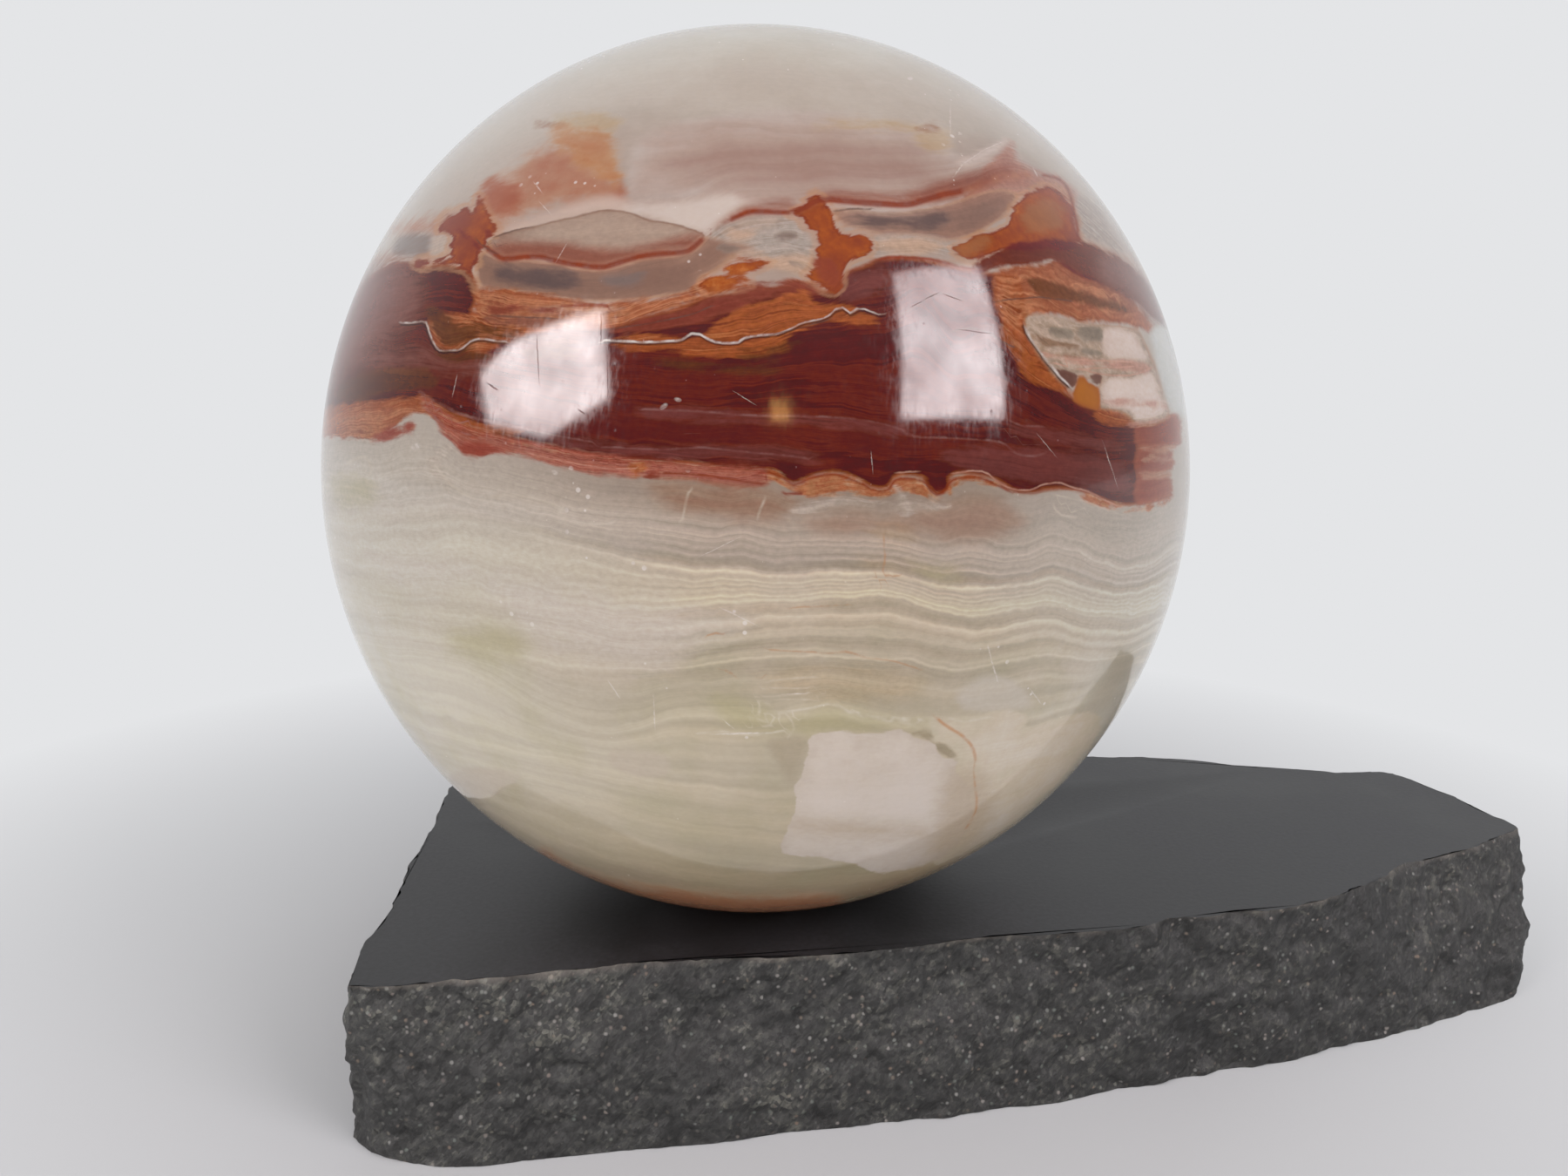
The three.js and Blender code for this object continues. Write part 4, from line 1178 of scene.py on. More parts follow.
def makeBall():
    bpy.ops.object.select_all(action="DESELECT")
    bpy.ops.mesh.primitive_cube_add(size=2)
    piece = bpy.context.object
    piece.name = "onyxBall"
    smoother = piece.modifiers.new("turned", "SUBSURF")
    smoother.levels = smoother.render_levels = ball["subdivisions"]
    bpy.ops.object.modifier_apply(modifier="turned")
    rounder = piece.modifiers.new("round", "CAST")
    rounder.cast_type = "SPHERE"
    rounder.factor = 1
    rounder.use_radius_as_size = False
    rounder.size = 1
    bpy.ops.object.modifier_apply(modifier="round")
    piece.scale = ballRadii
    piece.location = ballCentre
    bpy.ops.object.transform_apply(location=True, rotation=True, scale=True)
    bpy.ops.object.shade_smooth()
    return piece


def markBall(piece):
    # every mark's depth and every line's gap, in mm, at each point of the ball
    mesh = piece.data
    points = np.empty(len(mesh.vertices) * 3)
    mesh.vertices.foreach_get("co", points)
    points = points.reshape(-1, 3)
    x, y, behind = inPhotograph(points)
    levels = levelThrough(x, y) / 10
    setAttribute(mesh, "bedding", np.stack([points[:, 0] / mm, points[:, 1] / mm, levels], 1))
    setAttribute(mesh, "place", np.stack([x / 10, y / 10, behind * 10], 1))
    for mark in marks:
        depth = np.max([depthInside(x, y, outline) for outline in mark["outlines"]], 0)
        if not mark.get("everywhere"):
            depth = depth - ball["localShrink"] * behind
        setAttribute(mesh, mark["name"], depth / 10)
    setAttribute(mesh, "pricked", np.max([depthInside(x, y, outline) for outline in pricked], 0) / 10)
    for name, line in lines.items():
        found = besideLines(x, y, line["runs"])
        found[:, 1] *= 1 - ball["linesFade"] * behind
        setAttribute(mesh, name, found * (0.1, 1, 0.1))


def stoneGrain(tree):
    # each kind of unevenness, from -0.5 to 0.5
    bed = addNode(tree, "ShaderNodeAttribute", attribute_name="bedding").node.outputs["Vector"]
    body = addNode(tree, "ShaderNodeTexCoord").node.outputs["Object"]
    body = addNode(tree, "ShaderNodeMapping", {"Vector": body, "Scale": (1000, 1000, 1000)})
    bend = addNode(tree, "ShaderNodeTexNoise", {
        "Vector": body, "Scale": layerBend["scale"], "Detail": 3, "Roughness": 0.55})
    least, most = noiseSpan
    bend = addNode(tree, "ShaderNodeMapRange", {
        "Value": bend, "From Min": least, "From Max": most,
        "To Min": -layerBend["height"], "To Max": layerBend["height"]})
    bend = addNode(tree, "ShaderNodeCombineXYZ", {"Z": bend})
    bed = addNode(tree, "ShaderNodeVectorMath", {0: bed, 1: bend}, operation="ADD")
    found = {"bed": bed, "body": body}
    for name, grain in grains.items():
        way = addNode(tree, "ShaderNodeMapping", {"Vector": found[grain["along"]], "Scale": grain["scale"]})
        value = addNode(tree, "ShaderNodeTexNoise", {
            "Vector": way, "Scale": 1, "Detail": grain["detail"], "Roughness": 0.6})
        found[name] = addNode(tree, "ShaderNodeMapRange", {
            "Value": value, "From Min": least, "From Max": most, "To Min": -0.5, "To Max": 0.5})
    return found


def paleStone(tree, grain):
    # milky calcite under the marks, with its layers, and how clearly threads show in it
    level = addNode(tree, "ShaderNodeSeparateXYZ", {0: grain["bed"]}).node.outputs["Z"]
    place = addNode(tree, "ShaderNodeAttribute", attribute_name="place").node.outputs["Vector"]
    placeX = addNode(tree, "ShaderNodeSeparateXYZ", {0: place}).node.outputs["X"]
    colour = stoneTone(tree, grain, level, placeX)
    colour = broadLayers(tree, grain, level, colour)
    strong = layersClear(tree, grain, placeX)
    for layers in fineLayers.values():
        first, last = layers[0][0], layers[-1][0]
        share = addNode(tree, "ShaderNodeMapRange", {
            "Value": level, "From Min": first / 10, "From Max": last / 10})
        stops = [((at - first) / (last - first), layerShade(white)) for at, white in layers]
        shades = addNode(tree, "ShaderNodeValToRGB", {"Fac": share}, stops=stops)
        colour = addNode(tree, "ShaderNodeMix", {"Factor": strong, "A": colour, "B": shades},
                         data_type="RGBA", blend_type="OVERLAY")
    setsIn, fades = paleBanding["sets in"], paleBanding["fades"]
    upper = addNode(tree, "ShaderNodeMapRange", {
        "Value": level, "From Min": setsIn[0], "From Max": setsIn[1],
        "To Min": paleBanding["above"], "To Max": paleBanding["under"]})
    lower = addNode(tree, "ShaderNodeMapRange", {
        "Value": level, "From Min": fades[0], "From Max": fades[1],
        "To Min": paleBanding["under"], "To Max": paleBanding["low"]})
    banded = addNode(tree, "ShaderNodeMath", {0: upper, 1: lower}, operation="MINIMUM")
    return colour, banded


def stoneTone(tree, grain, level, placeX):
    # the stone's tone by its level, whiter at both rims, partly paler stone and partly a painted sheen, and
    # mossy low down
    drifting = addNode(tree, "ShaderNodeMath", {0: grain["cloud"], 1: paleLook["stray"], 2: level},
                       operation="MULTIPLY_ADD")
    span = paleLook["levels"]
    height = addNode(tree, "ShaderNodeMapRange", {"Value": drifting, "From Min": 0, "From Max": span})
    colour = addNode(tree, "ShaderNodeValToRGB", {"Fac": height},
                     stops=[(at / span, tone) for at, tone in paleTones])
    # whiter towards both rims: partly paler stone, partly a painted sheen of the bright room at grazing
    # angles
    start, end = paleLook["leftRim"]
    left = addNode(tree, "ShaderNodeMapRange", {"Value": placeX, "From Min": start, "From Max": end})
    start, end = paleLook["rightRim"]
    right = addNode(tree, "ShaderNodeMapRange", {"Value": placeX, "From Min": start, "From Max": end})
    rim = addNode(tree, "ShaderNodeMath", {0: left, 1: right}, operation="ADD")
    rim = addNode(tree, "ShaderNodeMath", {0: rim, 1: paleLook["rim"]}, operation="MULTIPLY")
    colour = addNode(tree, "ShaderNodeMix", {"Factor": rim, "A": colour, "B": linear(paleLook["rimPaleAndSheen"])},
                     data_type="RGBA")
    start, end = paleLook["mossFrom"]
    low = addNode(tree, "ShaderNodeMapRange", {"Value": level, "From Min": start, "From Max": end})
    start, end = paleLook["mossClouds"]
    moss = addNode(tree, "ShaderNodeMapRange", {
        "Value": grain["cloud"], "From Min": start, "From Max": end,
        "To Min": 0, "To Max": paleLook["moss"]})
    moss = addNode(tree, "ShaderNodeMath", {0: moss, 1: low}, operation="MULTIPLY")
    return addNode(tree, "ShaderNodeMix", {"Factor": moss, "A": colour, "B": linear(paleLook["mossTone"])},
                   data_type="RGBA")


def broadLayers(tree, grain, level, colour):
    # broad soft layers from under the red band down
    start, end = paleLook["broadFrom"]
    softly = addNode(tree, "ShaderNodeMapRange", {
        "Value": level, "From Min": start, "From Max": end, "To Min": 0, "To Max": paleLook["broad"]})
    layers = addNode(tree, "ShaderNodeMath", {0: grain["layer"], 1: 0.5}, operation="ADD")
    layers = addNode(tree, "ShaderNodeValToRGB", {"Fac": layers},
                     stops=list(enumerate(paleLook["broadShades"])))
    return addNode(tree, "ShaderNodeMix", {"Factor": softly, "A": colour, "B": layers},
                   data_type="RGBA", blend_type="OVERLAY")


def layersClear(tree, grain, placeX):
    # fine layers are clear in the middle, soft to the right of it, nearly lost to the left, and patchy
    clear = []
    for value, span, shown in ((placeX, "leftSpan", "leftClear"), (placeX, "rightSpan", "rightClear"),
                               (grain["cloud"], "patches", "patchClear")):
        start, end = paleLook[span]
        least, most = paleLook[shown]
        clear.append(addNode(tree, "ShaderNodeMapRange", {
            "Value": value, "From Min": start, "From Max": end, "To Min": least, "To Max": most}))
    strong = addNode(tree, "ShaderNodeMath", {0: clear[0], 1: clear[1]}, operation="MULTIPLY")
    return addNode(tree, "ShaderNodeMath", {0: strong, 1: clear[2]}, operation="MULTIPLY")


def layerShade(white):
    # what a fine layer does to the stone's colour: 0.5 leaves it, dark layers are brownish, white ones cool
    share = paleLook["fine"] * white
    if white < 0:
        return 0.5 + 0.9 * share, 0.5 + share, 0.5 + 1.15 * share
    return 0.5 + share, 0.5 + share, 0.5 + 1.05 * share


def layMark(tree, grain, mark, colour, banded):
    depth = addNode(tree, "ShaderNodeAttribute", attribute_name=mark["name"]).node.outputs["Fac"]
    depth = addNode(tree, "ShaderNodeMath", {0: grain["torn"], 1: mark["ragged"] / 10, 2: depth},
                    operation="MULTIPLY_ADD")
    there = addNode(tree, "ShaderNodeMapRange", {
        "Value": depth, "From Min": -mark["edge"] / 10, "From Max": mark["edge"] / 10,
        "To Min": 0, "To Max": mark["strength"]}, interpolation_type="SMOOTHSTEP")
    byDepth = mark["by"]["depth"]
    tone = addNode(tree, "ShaderNodeMapRange", {
        "Value": depth, "From Min": -mark["edge"] / 10, "From Max": mark["core"] / 10,
        "To Min": 0.5 - byDepth / 2, "To Max": 0.5 + byDepth / 2})
    for name, weight in mark["by"].items():
        if name != "depth":
            tone = addNode(tree, "ShaderNodeMath", {0: grain[name], 1: weight, 2: tone},
                           operation="MULTIPLY_ADD")
    last = len(mark["tones"]) - 1
    tones = addNode(tree, "ShaderNodeValToRGB", {"Fac": tone},
                    stops=[(i / last, hexTone) for i, hexTone in enumerate(mark["tones"])])
    colour = addNode(tree, "ShaderNodeMix", {"Factor": there, "A": colour, "B": tones}, data_type="RGBA")
    for rimPaleAndSheen, inside, wide, clear in mark.get("rims", []):
        rim = addNode(tree, "ShaderNodeMath", {0: depth, 1: inside / 10}, operation="SUBTRACT")
        rim = addNode(tree, "ShaderNodeMath", {0: rim}, operation="ABSOLUTE")
        rim = addNode(tree, "ShaderNodeMapRange", {
            "Value": rim, "From Min": wide / 10, "From Max": 0, "To Min": 0, "To Max": clear},
            interpolation_type="SMOOTHSTEP")
        (start, end), (least, most) = comesAndGoes["rims"]
        uneven = addNode(tree, "ShaderNodeMapRange", {
            "Value": grain["cloud"], "From Min": start, "From Max": end,
            "To Min": least, "To Max": most})
        rim = addNode(tree, "ShaderNodeMath", {0: rim, 1: uneven}, operation="MULTIPLY")
        colour = addNode(tree, "ShaderNodeMix", {"Factor": rim, "A": colour, "B": linear(rimPaleAndSheen)},
                         data_type="RGBA")
    banded = addNode(tree, "ShaderNodeMix", {"Factor": there, "A": banded, "B": mark["banding"]})
    return colour, banded


def showThreads(tree, grain, colour, banded):
    # thin threads and broader layers, as clear as each mark has them
    across = addNode(tree, "ShaderNodeMath", {0: grain["thread"], 1: 0.5}, operation="ADD")
    threads = addNode(tree, "ShaderNodeValToRGB", {"Fac": across},
                      stops=[(at, (shade, shade, shade)) for at, shade in threadShades])
    (start, end), (least, most) = comesAndGoes["hairs"]
    hairs = addNode(tree, "ShaderNodeMapRange", {
        "Value": grain["hair"], "From Min": start, "From Max": end, "To Min": least, "To Max": most})
    shade = addNode(tree, "ShaderNodeMix", {"Factor": paleLook["hairs"], "A": threads, "B": hairs},
                    data_type="RGBA")
    colour = addNode(tree, "ShaderNodeMix", {"Factor": banded, "A": colour, "B": shade},
                     data_type="RGBA", blend_type="OVERLAY")
    (start, end), (least, most) = comesAndGoes["mottle"]
    mottle = addNode(tree, "ShaderNodeMapRange", {
        "Value": grain["mottle"], "From Min": start, "From Max": end, "To Min": least, "To Max": most})
    share, everywhere = paleLook["mottled"]
    clear = addNode(tree, "ShaderNodeMath", {0: banded, 1: share, 2: everywhere},
                    operation="MULTIPLY_ADD")
    return addNode(tree, "ShaderNodeMix", {"Factor": clear, "A": colour, "B": mottle},
                   data_type="RGBA", blend_type="OVERLAY")


lineShake = 0.12  # mm by which a line wavers
lineGaps = (-0.3, 0.2)  # the grain over which it comes back from a gap
lineShadow = {"below": 0.22, "tone": "#3a201a", "strength": 0.8}  # mm under a crack's lit edge


def drawLines(tree, grain, name, line, colour):
    beside = addNode(tree, "ShaderNodeAttribute", attribute_name=name).node.outputs["Vector"]
    parts = addNode(tree, "ShaderNodeSeparateXYZ", {0: beside}).node.outputs
    gap = addNode(tree, "ShaderNodeMath", {0: grain["curdle"], 1: lineShake, 2: parts["X"]},
                  operation="MULTIPLY_ADD")
    # painted shadow along the lower side of the crack
    if "shadow" in line:
        under = addNode(tree, "ShaderNodeMath", {0: gap, 1: lineShadow["below"]}, operation="SUBTRACT")
        under = addNode(tree, "ShaderNodeMath", {0: under}, operation="ABSOLUTE")
        under = addNode(tree, "ShaderNodeMapRange", {
            "Value": under, "From Min": line["shadow"] / 10, "From Max": 0,
            "To Min": 0, "To Max": lineShadow["strength"]})
        under = addNode(tree, "ShaderNodeMath", {0: under, 1: parts["Y"]}, operation="MULTIPLY")
        colour = addNode(tree, "ShaderNodeMix", {
            "Factor": under, "A": colour, "B": linear(lineShadow["tone"])}, data_type="RGBA")
    gap = addNode(tree, "ShaderNodeMath", {0: gap}, operation="ABSOLUTE")
    gap = addNode(tree, "ShaderNodeMath", {0: gap, 1: parts["Z"]}, operation="SUBTRACT")
    there = addNode(tree, "ShaderNodeMapRange", {
        "Value": gap, "From Min": line["soft"] / 10, "From Max": -line["soft"] / 10,
        "To Min": 0, "To Max": line["strength"]})
    there = addNode(tree, "ShaderNodeMath", {0: there, 1: parts["Y"]}, operation="MULTIPLY")
    start, end = lineGaps
    kept = addNode(tree, "ShaderNodeMapRange", {
        "Value": grain["curdle"], "From Min": start, "From Max": end,
        "To Min": 1 - line["patchy"], "To Max": 1})
    there = addNode(tree, "ShaderNodeMath", {0: there, 1: kept}, operation="MULTIPLY")
    tone = addNode(tree, "ShaderNodeMath", {0: grain["curdle"], 1: 0.5}, operation="ADD")
    tones = addNode(tree, "ShaderNodeValToRGB", {"Fac": tone},
                    stops=[(0, line["tones"][0]), (1, line["tones"][1])])
    return addNode(tree, "ShaderNodeMix", {"Factor": there, "A": colour, "B": tones}, data_type="RGBA")


# Each bruise reaches to 1 in its own measure, which is squared. "frontOnly" times how far behind a
# place is (up to 10) takes it out of reach.
bruised = {"wobble": (0.1, 0.1, 0), "farOff": 9, "border": (1.3, 0.3), "frontOnly": 5}


def atBruises(tree, grain, bruises):
    # where slim bruises are, each tapering to both ends: 1 in them, 0 outside
    place = addNode(tree, "ShaderNodeAttribute", attribute_name="place").node.outputs["Vector"]
    wobble = addNode(tree, "ShaderNodeCombineXYZ", {"X": grain["mottle"], "Y": grain["curdle"]})
    place = addNode(tree, "ShaderNodeVectorMath", {0: wobble, 1: bruised["wobble"], 2: place},
                    operation="MULTIPLY_ADD")
    nearest = bruised["farOff"]
    for startX, startY, endX, endY, halfWidth in bruises:
        way = Vector((endX - startX, endY - startY, 0)) / 10
        halfLength = way.length / 2 + halfWidth / 10
        way.normalize()
        across = Vector((-way.y, way.x, 0)) * 10 / halfWidth
        along = way / halfLength + Vector((0, 0, bruised["frontOnly"]))
        middle = ((startX + endX) / 20, (startY + endY) / 20, 0)
        offset = addNode(tree, "ShaderNodeVectorMath", {0: place, 1: middle}, operation="SUBTRACT")
        share = addNode(tree, "ShaderNodeVectorMath", {0: offset, 1: along},
                        operation="DOT_PRODUCT").node.outputs["Value"]
        aside = addNode(tree, "ShaderNodeVectorMath", {0: offset, 1: across},
                        operation="DOT_PRODUCT").node.outputs["Value"]
        share = addNode(tree, "ShaderNodeMath", {0: share, 1: share}, operation="MULTIPLY")
        away = addNode(tree, "ShaderNodeMath", {0: aside, 1: aside, 2: share}, operation="MULTIPLY_ADD")
        nearest = addNode(tree, "ShaderNodeMath", {0: away, 1: nearest}, operation="MINIMUM")
    outer, inner = bruised["border"]
    return addNode(tree, "ShaderNodeMapRange", {"Value": nearest, "From Min": outer, "From Max": inner})


polish = {
    "worn": 0.45,  # roughness
    "scratched": (0.3, 0.3, 6),  # mm apart and long
    "lean": 0.05,  # of the scratches, radians from upright
    "bruised": "#ddd3cc",
    "pricks": 1.1,  # white pricks to a mm, and pits
    "pits": 1.4,
}


def tinyDots(tree, grain, kind, channel):
    # dots of uneven size all through the stone: 0 outside them
    cells = addNode(tree, "ShaderNodeTexVoronoi", {
        "Vector": grain["body"], "Scale": polish[kind]}).node.outputs
    chosen = addNode(tree, "ShaderNodeSeparateColor", {0: cells["Color"]}).node.outputs[channel]
    (start, end), (least, most) = comesAndGoes[kind + " by size"]
    size = addNode(tree, "ShaderNodeMapRange", {
        "Value": chosen, "From Min": start, "From Max": end, "To Min": least, "To Max": most})
    dot = addNode(tree, "ShaderNodeMath", {0: size, 1: cells["Distance"]}, operation="SUBTRACT")
    (start, end), (least, most) = comesAndGoes[kind]
    return addNode(tree, "ShaderNodeMapRange", {
        "Value": dot, "From Min": start, "From Max": end, "To Min": least, "To Max": most})


def bruisePolish(tree, grain, colour):
    # chips, scratches and tiny white pricks in the polish
    bruise = atBruises(tree, grain, scratches)
    (start, end), (least, most) = comesAndGoes["bruises"]
    broken = addNode(tree, "ShaderNodeMapRange", {
        "Value": grain["mottle"], "From Min": start, "From Max": end, "To Min": least, "To Max": most})
    bruise = addNode(tree, "ShaderNodeMath", {0: bruise, 1: broken}, operation="MULTIPLY")
    dot = tinyDots(tree, grain, "pricks", "Red")
    inPricked = addNode(tree, "ShaderNodeAttribute", attribute_name="pricked").node.outputs["Fac"]
    inPricked = addNode(tree, "ShaderNodeMapRange", {"Value": inPricked, "From Min": -0.5, "From Max": 0.5})
    dot = addNode(tree, "ShaderNodeMath", {0: dot, 1: inPricked}, operation="MULTIPLY")
    bruise = addNode(tree, "ShaderNodeMath", {0: dot, 1: bruise}, operation="MAXIMUM")
    return addNode(tree, "ShaderNodeMix", {"Factor": bruise, "A": colour, "B": linear(polish["bruised"])},
                   data_type="RGBA")


def dullPolish(tree, grain, rough):
    # worn places in the polish: slim dark ones, and pits about 0.2 mm across
    worn = atBruises(tree, grain, wear)
    pit = tinyDots(tree, grain, "pits", "Green")
    worn = addNode(tree, "ShaderNodeMath", {0: worn, 1: pit}, operation="MAXIMUM")
    (start, end), (least, most) = comesAndGoes["blotches"]
    blotch = addNode(tree, "ShaderNodeMapRange", {
        "Value": grain["curdle"], "From Min": start, "From Max": end, "To Min": least, "To Max": most})
    worn = addNode(tree, "ShaderNodeMath", {0: worn, 1: blotch}, operation="MAXIMUM")
    return addNode(tree, "ShaderNodeMix", {"Factor": worn, "A": rough, "B": polish["worn"]})


def paintLightByLevel(tree, grain, colour):
    # painted light: lighter low down on the ball, in place of light that the room doesn't bring there
    level = addNode(tree, "ShaderNodeSeparateXYZ", {0: grain["bed"]}).node.outputs["Z"]
    share = addNode(tree, "ShaderNodeMapRange", {
        "Value": level, "From Min": paintedLightByLevel["from"], "From Max": paintedLightByLevel["to"],
        "To Min": paintedLightByLevel["full"], "To Max": paintedLightByLevel["low"]}, interpolation_type="SMOOTHSTEP")
    colour = addNode(tree, "ShaderNodeVectorMath", {0: colour, 1: share, 2: paintedLightByLevel["haze"]},
                     operation="MULTIPLY_ADD")
    return addNode(tree, "ShaderNodeVectorMath", {0: colour, 1: paintedLightByLevel["least"]}, operation="MAXIMUM")


def onyxMaterial():
    # Banded calcite, turned and polished. Clear glossy skin over milky layers that let light in a little.
    material, tree = newTree("polishedOnyx")
    grain = stoneGrain(tree)
    colour, banded = paleStone(tree, grain)
    for mark in marks:
        colour, banded = layMark(tree, grain, mark, colour, banded)
    colour = showThreads(tree, grain, colour, banded)
    for name, line in lines.items():
        colour = drawLines(tree, grain, name, line, colour)
    colour = bruisePolish(tree, grain, colour)
    colour = paintLightByLevel(tree, grain, colour)

    # fine polishing scratches, nearly upright, show in the gloss alone
    steep = addNode(tree, "ShaderNodeMapping", {
        "Vector": grain["body"], "Rotation": (0, polish["lean"], 0), "Scale": polish["scratched"]},
        vector_type="TEXTURE")
    scratch = addNode(tree, "ShaderNodeTexNoise", {
        "Vector": steep, "Scale": 1, "Detail": 2, "Roughness": 0.7})
    (start, end), (least, most) = comesAndGoes["scratches"]
    rough = addNode(tree, "ShaderNodeMapRange", {
        "Value": scratch, "From Min": start, "From Max": end, "To Min": least, "To Max": most})
    rough = dullPolish(tree, grain, rough)
    shader = addNode(tree, "ShaderNodeBsdfPrincipled", {
        "Base Color": colour, "Roughness": rough, "IOR": 1.65,
        "Subsurface Weight": 0.25, "Subsurface Radius": (1.0, 0.8, 0.6), "Subsurface Scale": 0.002})
    addNode(tree, "ShaderNodeOutputMaterial", {0: shader})
    return material


# The slab

slab = {
    "cuts": 5,  # through each broken face of the model, enough for the smallest lumps
    "weld": 0.01 * mm,
    "seatReach": 15 * mm,  # what lies nearer the middle is the seat, not a broken face
    "flat": 0.05 * mm,  # what lies this near the top or the foot is flat
    "lumps": [(5 * mm, 0.6 * mm), (2.2 * mm, 0.5 * mm), (1.1 * mm, 0.3 * mm)],  # size and height
    "lumpsFrom": (9, 4),  # where in the noise each size is taken from
    "rimShare": 0.8,  # of each lump at the top rim and at the foot
    "footShare": 0.35,
    "smoothUnder": 40,  # degrees between faces
    "bruised": 0.7 * mm,  # how far below the top edge the broken face is paler
    "lighterLeft": ((-30, 70), (1.08, 0.7)),  # mm along X, and how light the broken face is there
    "clouds": {"grain": 0.8, "wide": 0.7, "crystals": 0.42},  # how much each adds to the finer clouds
    "shades": (1.1, 1.85),  # what they add up to
    "honedRough": (0.36, 0.48),
    "clustering": 0.35,  # how far the pale specks keep together
    "specks": ((1.04, 1.14), (0, 0.55)),
    "speckBorder": (0.55, 0.25),  # of a crystal's size
    "rimBlur": (0.45, 0.55),  # mm
    "rimPatches": ((0.45, 0.6), (0.05, 0.4)),
}


def makeSlab():
    bpy.ops.object.select_all(action="DESELECT")
    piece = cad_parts["stand_slab"].copy()
    piece.data = piece.data.copy()
    piece.name = "stoneSlab"
    bpy.context.scene.collection.objects.link(piece)
    piece.parent = None
    piece.matrix_world.identity()
    piece.data.materials.clear()
    bpy.context.view_layer.objects.active = piece
    piece.select_set(True)
    bpy.ops.object.mode_set(mode="EDIT")
    bpy.ops.mesh.select_all(action="SELECT")
    bpy.ops.mesh.remove_doubles(threshold=slab["weld"])
    bpy.ops.object.mode_set(mode="OBJECT")
    selectBroken(piece)
    bpy.ops.object.mode_set(mode="EDIT")
    bpy.ops.mesh.subdivide(number_cuts=slab["cuts"])
    bpy.ops.object.mode_set(mode="OBJECT")
    return piece


def isBroken(centre):
    onFlat = centre.z < slabLow.z + slab["flat"] or centre.z > slabHigh.z - slab["flat"]
    inSeat = math.hypot(centre.x, centre.y) < slab["seatReach"]
    return not onFlat and not inSeat


def selectBroken(piece):
    bpy.ops.object.mode_set(mode="EDIT")
    bpy.ops.mesh.select_mode(type="FACE")
    bpy.ops.mesh.select_all(action="DESELECT")
    bpy.ops.object.mode_set(mode="OBJECT")
    for face in piece.data.polygons:
        face.select = isBroken(face.center)


def lumpShare(z):
    # the top rim and the foot keep only a share of each lump
    if z > slabHigh.z - slab["flat"]:
        return slab["rimShare"]
    if z < slabLow.z + slab["flat"]:
        return slab["footShare"]
    return 1


def roughenSlab(piece):
    mesh = piece.data
    touched = {v for face in mesh.polygons if isBroken(face.center) for v in face.vertices}
    apart, start = slab["lumpsFrom"]
    moved = {}
    for index in touched:
        vertex = mesh.vertices[index]
        outward = Vector((vertex.normal.x, vertex.normal.y, 0)).normalized()
        push = 0
        for layer, (size, height) in enumerate(slab["lumps"]):
            push += height * noise.noise(vertex.co / size + Vector((apart * layer, 0, start)))
        moved[index] = vertex.co + outward * push * lumpShare(vertex.co.z)
    for index, place in moved.items():
        mesh.vertices[index].co = place
    mesh.update()


def honedMaterial():
    # Dolerite honed flat: even, nearly black, with a soft sheen.
    honed, tree = newTree("honedDolerite")
    body = addNode(tree, "ShaderNodeTexCoord").node.outputs["Object"]
    cloud = addNode(tree, "ShaderNodeTexNoise", {
        "Vector": body, "Scale": 60, "Detail": 5, "Roughness": 0.6})
    grain = addNode(tree, "ShaderNodeTexNoise", {
        "Vector": body, "Scale": 1600, "Detail": 2, "Roughness": 0.6})
    mixed = addNode(tree, "ShaderNodeMath", {0: grain, 1: 0.5, 2: cloud}, operation="MULTIPLY_ADD")
    colour = addNode(tree, "ShaderNodeValToRGB", {"Fac": mixed},
                     stops=[(0.5, "#1b1b1c"), (0.75, "#262628"), (1.0, "#333336")])
    (start, end), (least, most) = noiseSpan, slab["honedRough"]
    rough = addNode(tree, "ShaderNodeMapRange", {
        "Value": cloud, "From Min": start, "From Max": end, "To Min": least, "To Max": most})
    bump = addNode(tree, "ShaderNodeBump", {"Height": grain, "Strength": 0.15, "Distance": 0.0001})
    shader = addNode(tree, "ShaderNodeBsdfPrincipled", {
        "Base Color": colour, "Roughness": rough, "IOR": 1.6, "Specular IOR Level": 0.35, "Normal": bump})
    addNode(tree, "ShaderNodeOutputMaterial", {0: shader})
    return honed


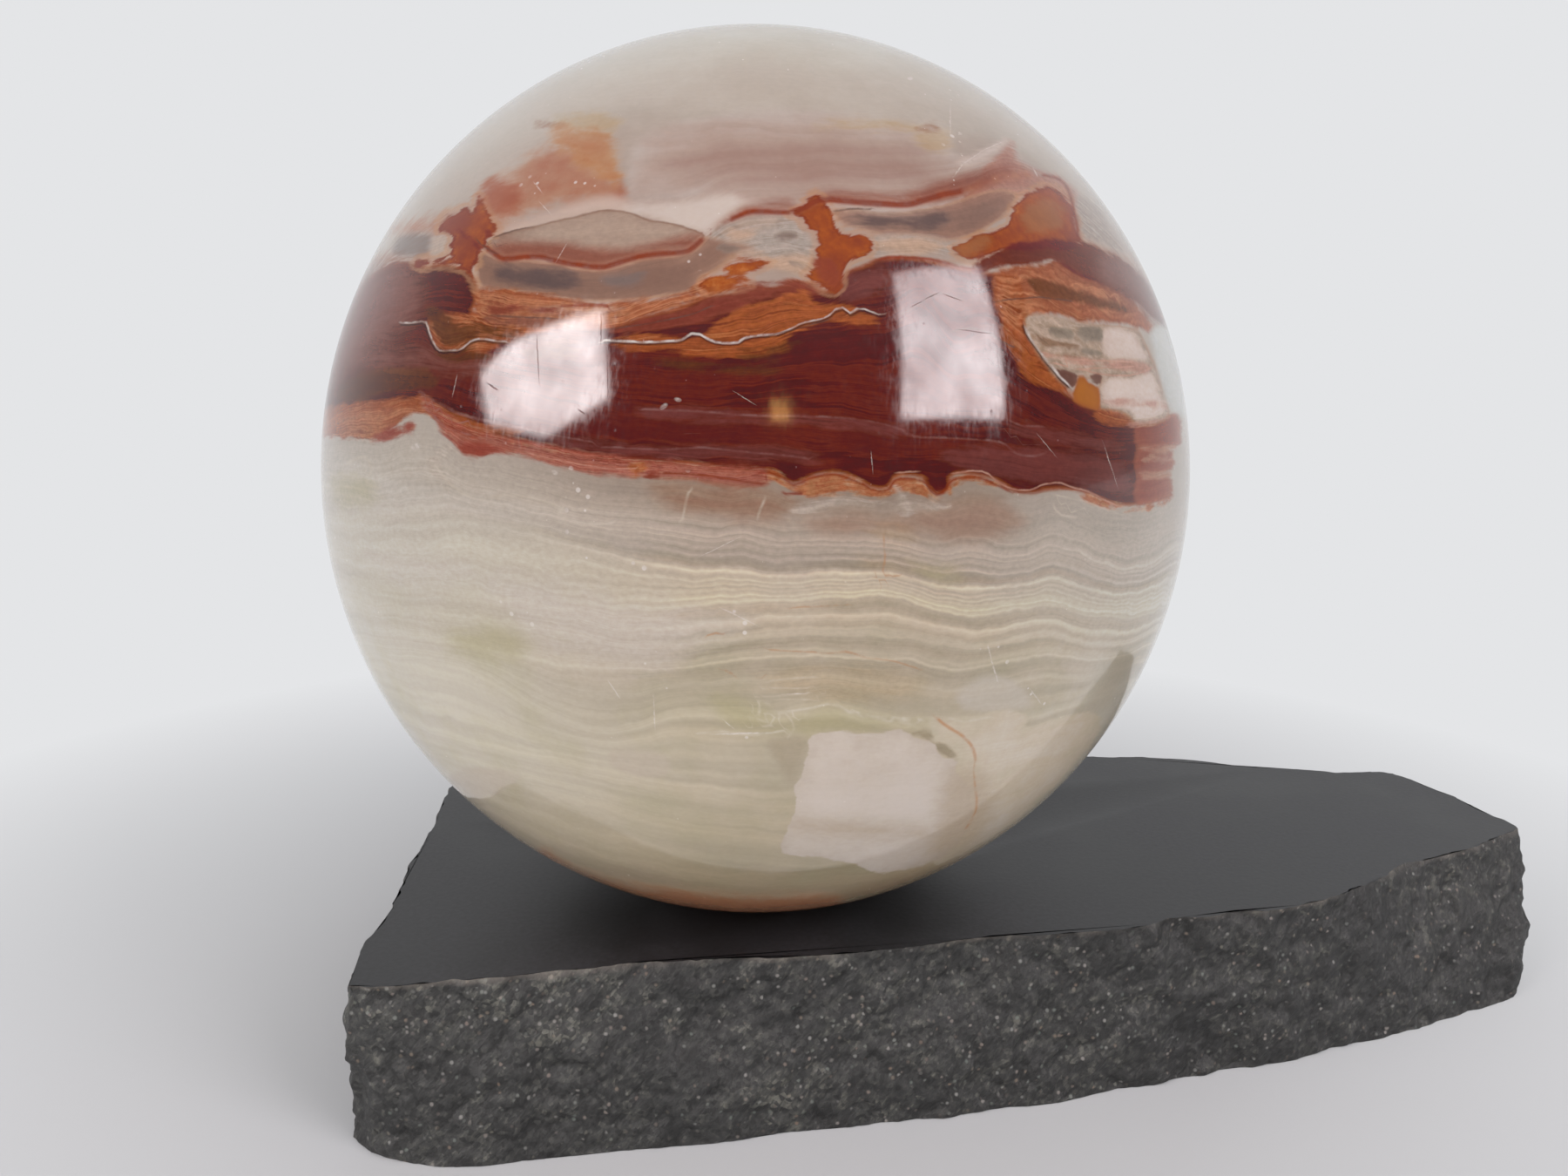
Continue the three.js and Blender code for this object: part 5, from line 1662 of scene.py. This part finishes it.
def brokenMaterial():
    # Dolerite broken by hand: dull and cloudy, with crystals that lean one way and a few pale specks.
    broken, tree = newTree("brokenDolerite")
    body = addNode(tree, "ShaderNodeTexCoord").node.outputs["Object"]
    body = addNode(tree, "ShaderNodeMapping", {"Vector": body, "Scale": (1000, 1000, 1000)})
    leaning = addNode(tree, "ShaderNodeMapping", {"Vector": body, "Rotation": (0, 0.7, 0),
                                                  "Scale": (0.35, 0.5, 1.1)}, vector_type="TEXTURE")
    wide = addNode(tree, "ShaderNodeTexNoise", {
        "Vector": body, "Scale": 0.07, "Detail": 3, "Roughness": 0.6})
    cloud = addNode(tree, "ShaderNodeTexNoise", {
        "Vector": body, "Scale": 0.33, "Detail": 4, "Roughness": 0.6})
    grain = addNode(tree, "ShaderNodeTexNoise", {
        "Vector": leaning, "Scale": 1, "Detail": 3, "Roughness": 0.65})
    adds = slab["clouds"]
    mixed = addNode(tree, "ShaderNodeMath", {0: grain, 1: adds["grain"], 2: cloud},
                    operation="MULTIPLY_ADD")
    mixed = addNode(tree, "ShaderNodeMath", {0: wide, 1: adds["wide"], 2: mixed},
                    operation="MULTIPLY_ADD")
    crystals = addNode(tree, "ShaderNodeTexVoronoi", {"Vector": body, "Scale": 1.9}).node.outputs
    lot = addNode(tree, "ShaderNodeSeparateColor", {0: crystals["Color"]}).node.outputs
    mixed = addNode(tree, "ShaderNodeMath", {0: lot["Red"], 1: adds["crystals"], 2: mixed},
                    operation="MULTIPLY_ADD")
    dark, light = slab["shades"]
    shade = addNode(tree, "ShaderNodeMapRange", {"Value": mixed, "From Min": dark, "From Max": light})
    colour = addNode(tree, "ShaderNodeValToRGB", {"Fac": shade},
                     stops=[(0, "#0f0f0e"), (0.3, "#1c1c1b"), (0.55, "#272726"), (0.8, "#373733"),
                            (1, "#54534c")])
    # the broken face lighter towards the left and darker towards the right
    across = addNode(tree, "ShaderNodeSeparateXYZ", {0: body}).node.outputs["X"]
    (left, right), (lighterLeft, darkerRight) = slab["lighterLeft"]
    drift = addNode(tree, "ShaderNodeMapRange", {
        "Value": across, "From Min": left, "From Max": right, "To Min": lighterLeft, "To Max": darkerRight})
    colour = addNode(tree, "ShaderNodeVectorMath", {0: colour, "Scale": drift}, operation="SCALE")

    clustered = addNode(tree, "ShaderNodeMath", {0: wide, 1: slab["clustering"], 2: lot["Green"]},
                        operation="MULTIPLY_ADD")
    (start, end), (least, most) = slab["specks"]
    speck = addNode(tree, "ShaderNodeMapRange", {
        "Value": clustered, "From Min": start, "From Max": end, "To Min": least, "To Max": most})
    outer, inner = slab["speckBorder"]
    core = addNode(tree, "ShaderNodeMapRange", {
        "Value": crystals["Distance"], "From Min": outer, "From Max": inner})
    speck = addNode(tree, "ShaderNodeMath", {0: speck, 1: core}, operation="MULTIPLY")
    tint = addNode(tree, "ShaderNodeValToRGB", {"Fac": lot["Blue"]},
                   stops=[(0.0, "#7d6c62"), (0.35, "#918f8b"), (0.65, "#5d665f"), (1.0, "#7c6858")])
    colour = addNode(tree, "ShaderNodeMix", {"Factor": speck, "A": colour, "B": tint}, data_type="RGBA")

    # a paler, patchy band just below the top edge of the broken face
    height = addNode(tree, "ShaderNodeSeparateXYZ", {0: body}).node.outputs["Z"]
    top = slabHigh.z / mm
    rim = addNode(tree, "ShaderNodeMath", {0: cloud, 1: 1.0, 2: height}, operation="MULTIPLY_ADD")
    lower, upper = slab["rimBlur"]
    rim = addNode(tree, "ShaderNodeMapRange", {
        "Value": rim, "From Min": top + lower - slab["bruised"] / mm, "From Max": top + upper,
        "To Min": 0, "To Max": 1})
    (start, end), (least, most) = slab["rimPatches"]
    patchy = addNode(tree, "ShaderNodeMapRange", {
        "Value": wide, "From Min": start, "From Max": end, "To Min": least, "To Max": most})
    rim = addNode(tree, "ShaderNodeMath", {0: rim, 1: patchy}, operation="MULTIPLY")
    colour = addNode(tree, "ShaderNodeMix", {"Factor": rim, "A": colour, "B": linear("#7f766d")},
                     data_type="RGBA")
    bump = addNode(tree, "ShaderNodeBump", {"Height": mixed, "Strength": 0.6, "Distance": 0.0004})
    shader = addNode(tree, "ShaderNodeBsdfPrincipled", {"Base Color": colour, "Roughness": 0.6,
                                                        "IOR": 1.6, "Normal": bump})
    addNode(tree, "ShaderNodeOutputMaterial", {0: shader})
    return broken


def dressSlab(piece):
    piece.data.materials.append(honedMaterial())
    piece.data.materials.append(brokenMaterial())
    for face in piece.data.polygons:
        face.material_index = 1 if isBroken(face.center) else 0
    selectBroken(piece)
    bpy.ops.object.mode_set(mode="EDIT")
    bpy.ops.mesh.region_to_loop()
    bpy.ops.mesh.mark_sharp()
    bpy.ops.mesh.select_mode(type="FACE")
    bpy.ops.object.mode_set(mode="OBJECT")
    bpy.ops.object.shade_smooth_by_angle(angle=math.radians(slab["smoothUnder"]), keep_sharp_edges=True)


placeCamera()
for window in studio["windows"]:
    placeWindow(window)
placeSoftLight(studio["soft"])
makeRoom()
makeFloor()
bpy.context.scene.view_settings.view_transform = "Standard"
print("studio set up")

onyxBall = makeBall()
markBall(onyxBall)
onyxBall.data.materials.append(onyxMaterial())
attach(onyxBall, "root")
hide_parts("onyx_ball")
print("ball turned and marked")

stoneSlab = makeSlab()
roughenSlab(stoneSlab)
dressSlab(stoneSlab)
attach(stoneSlab, "root")
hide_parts("stand_slab")
print("slab broken and honed")
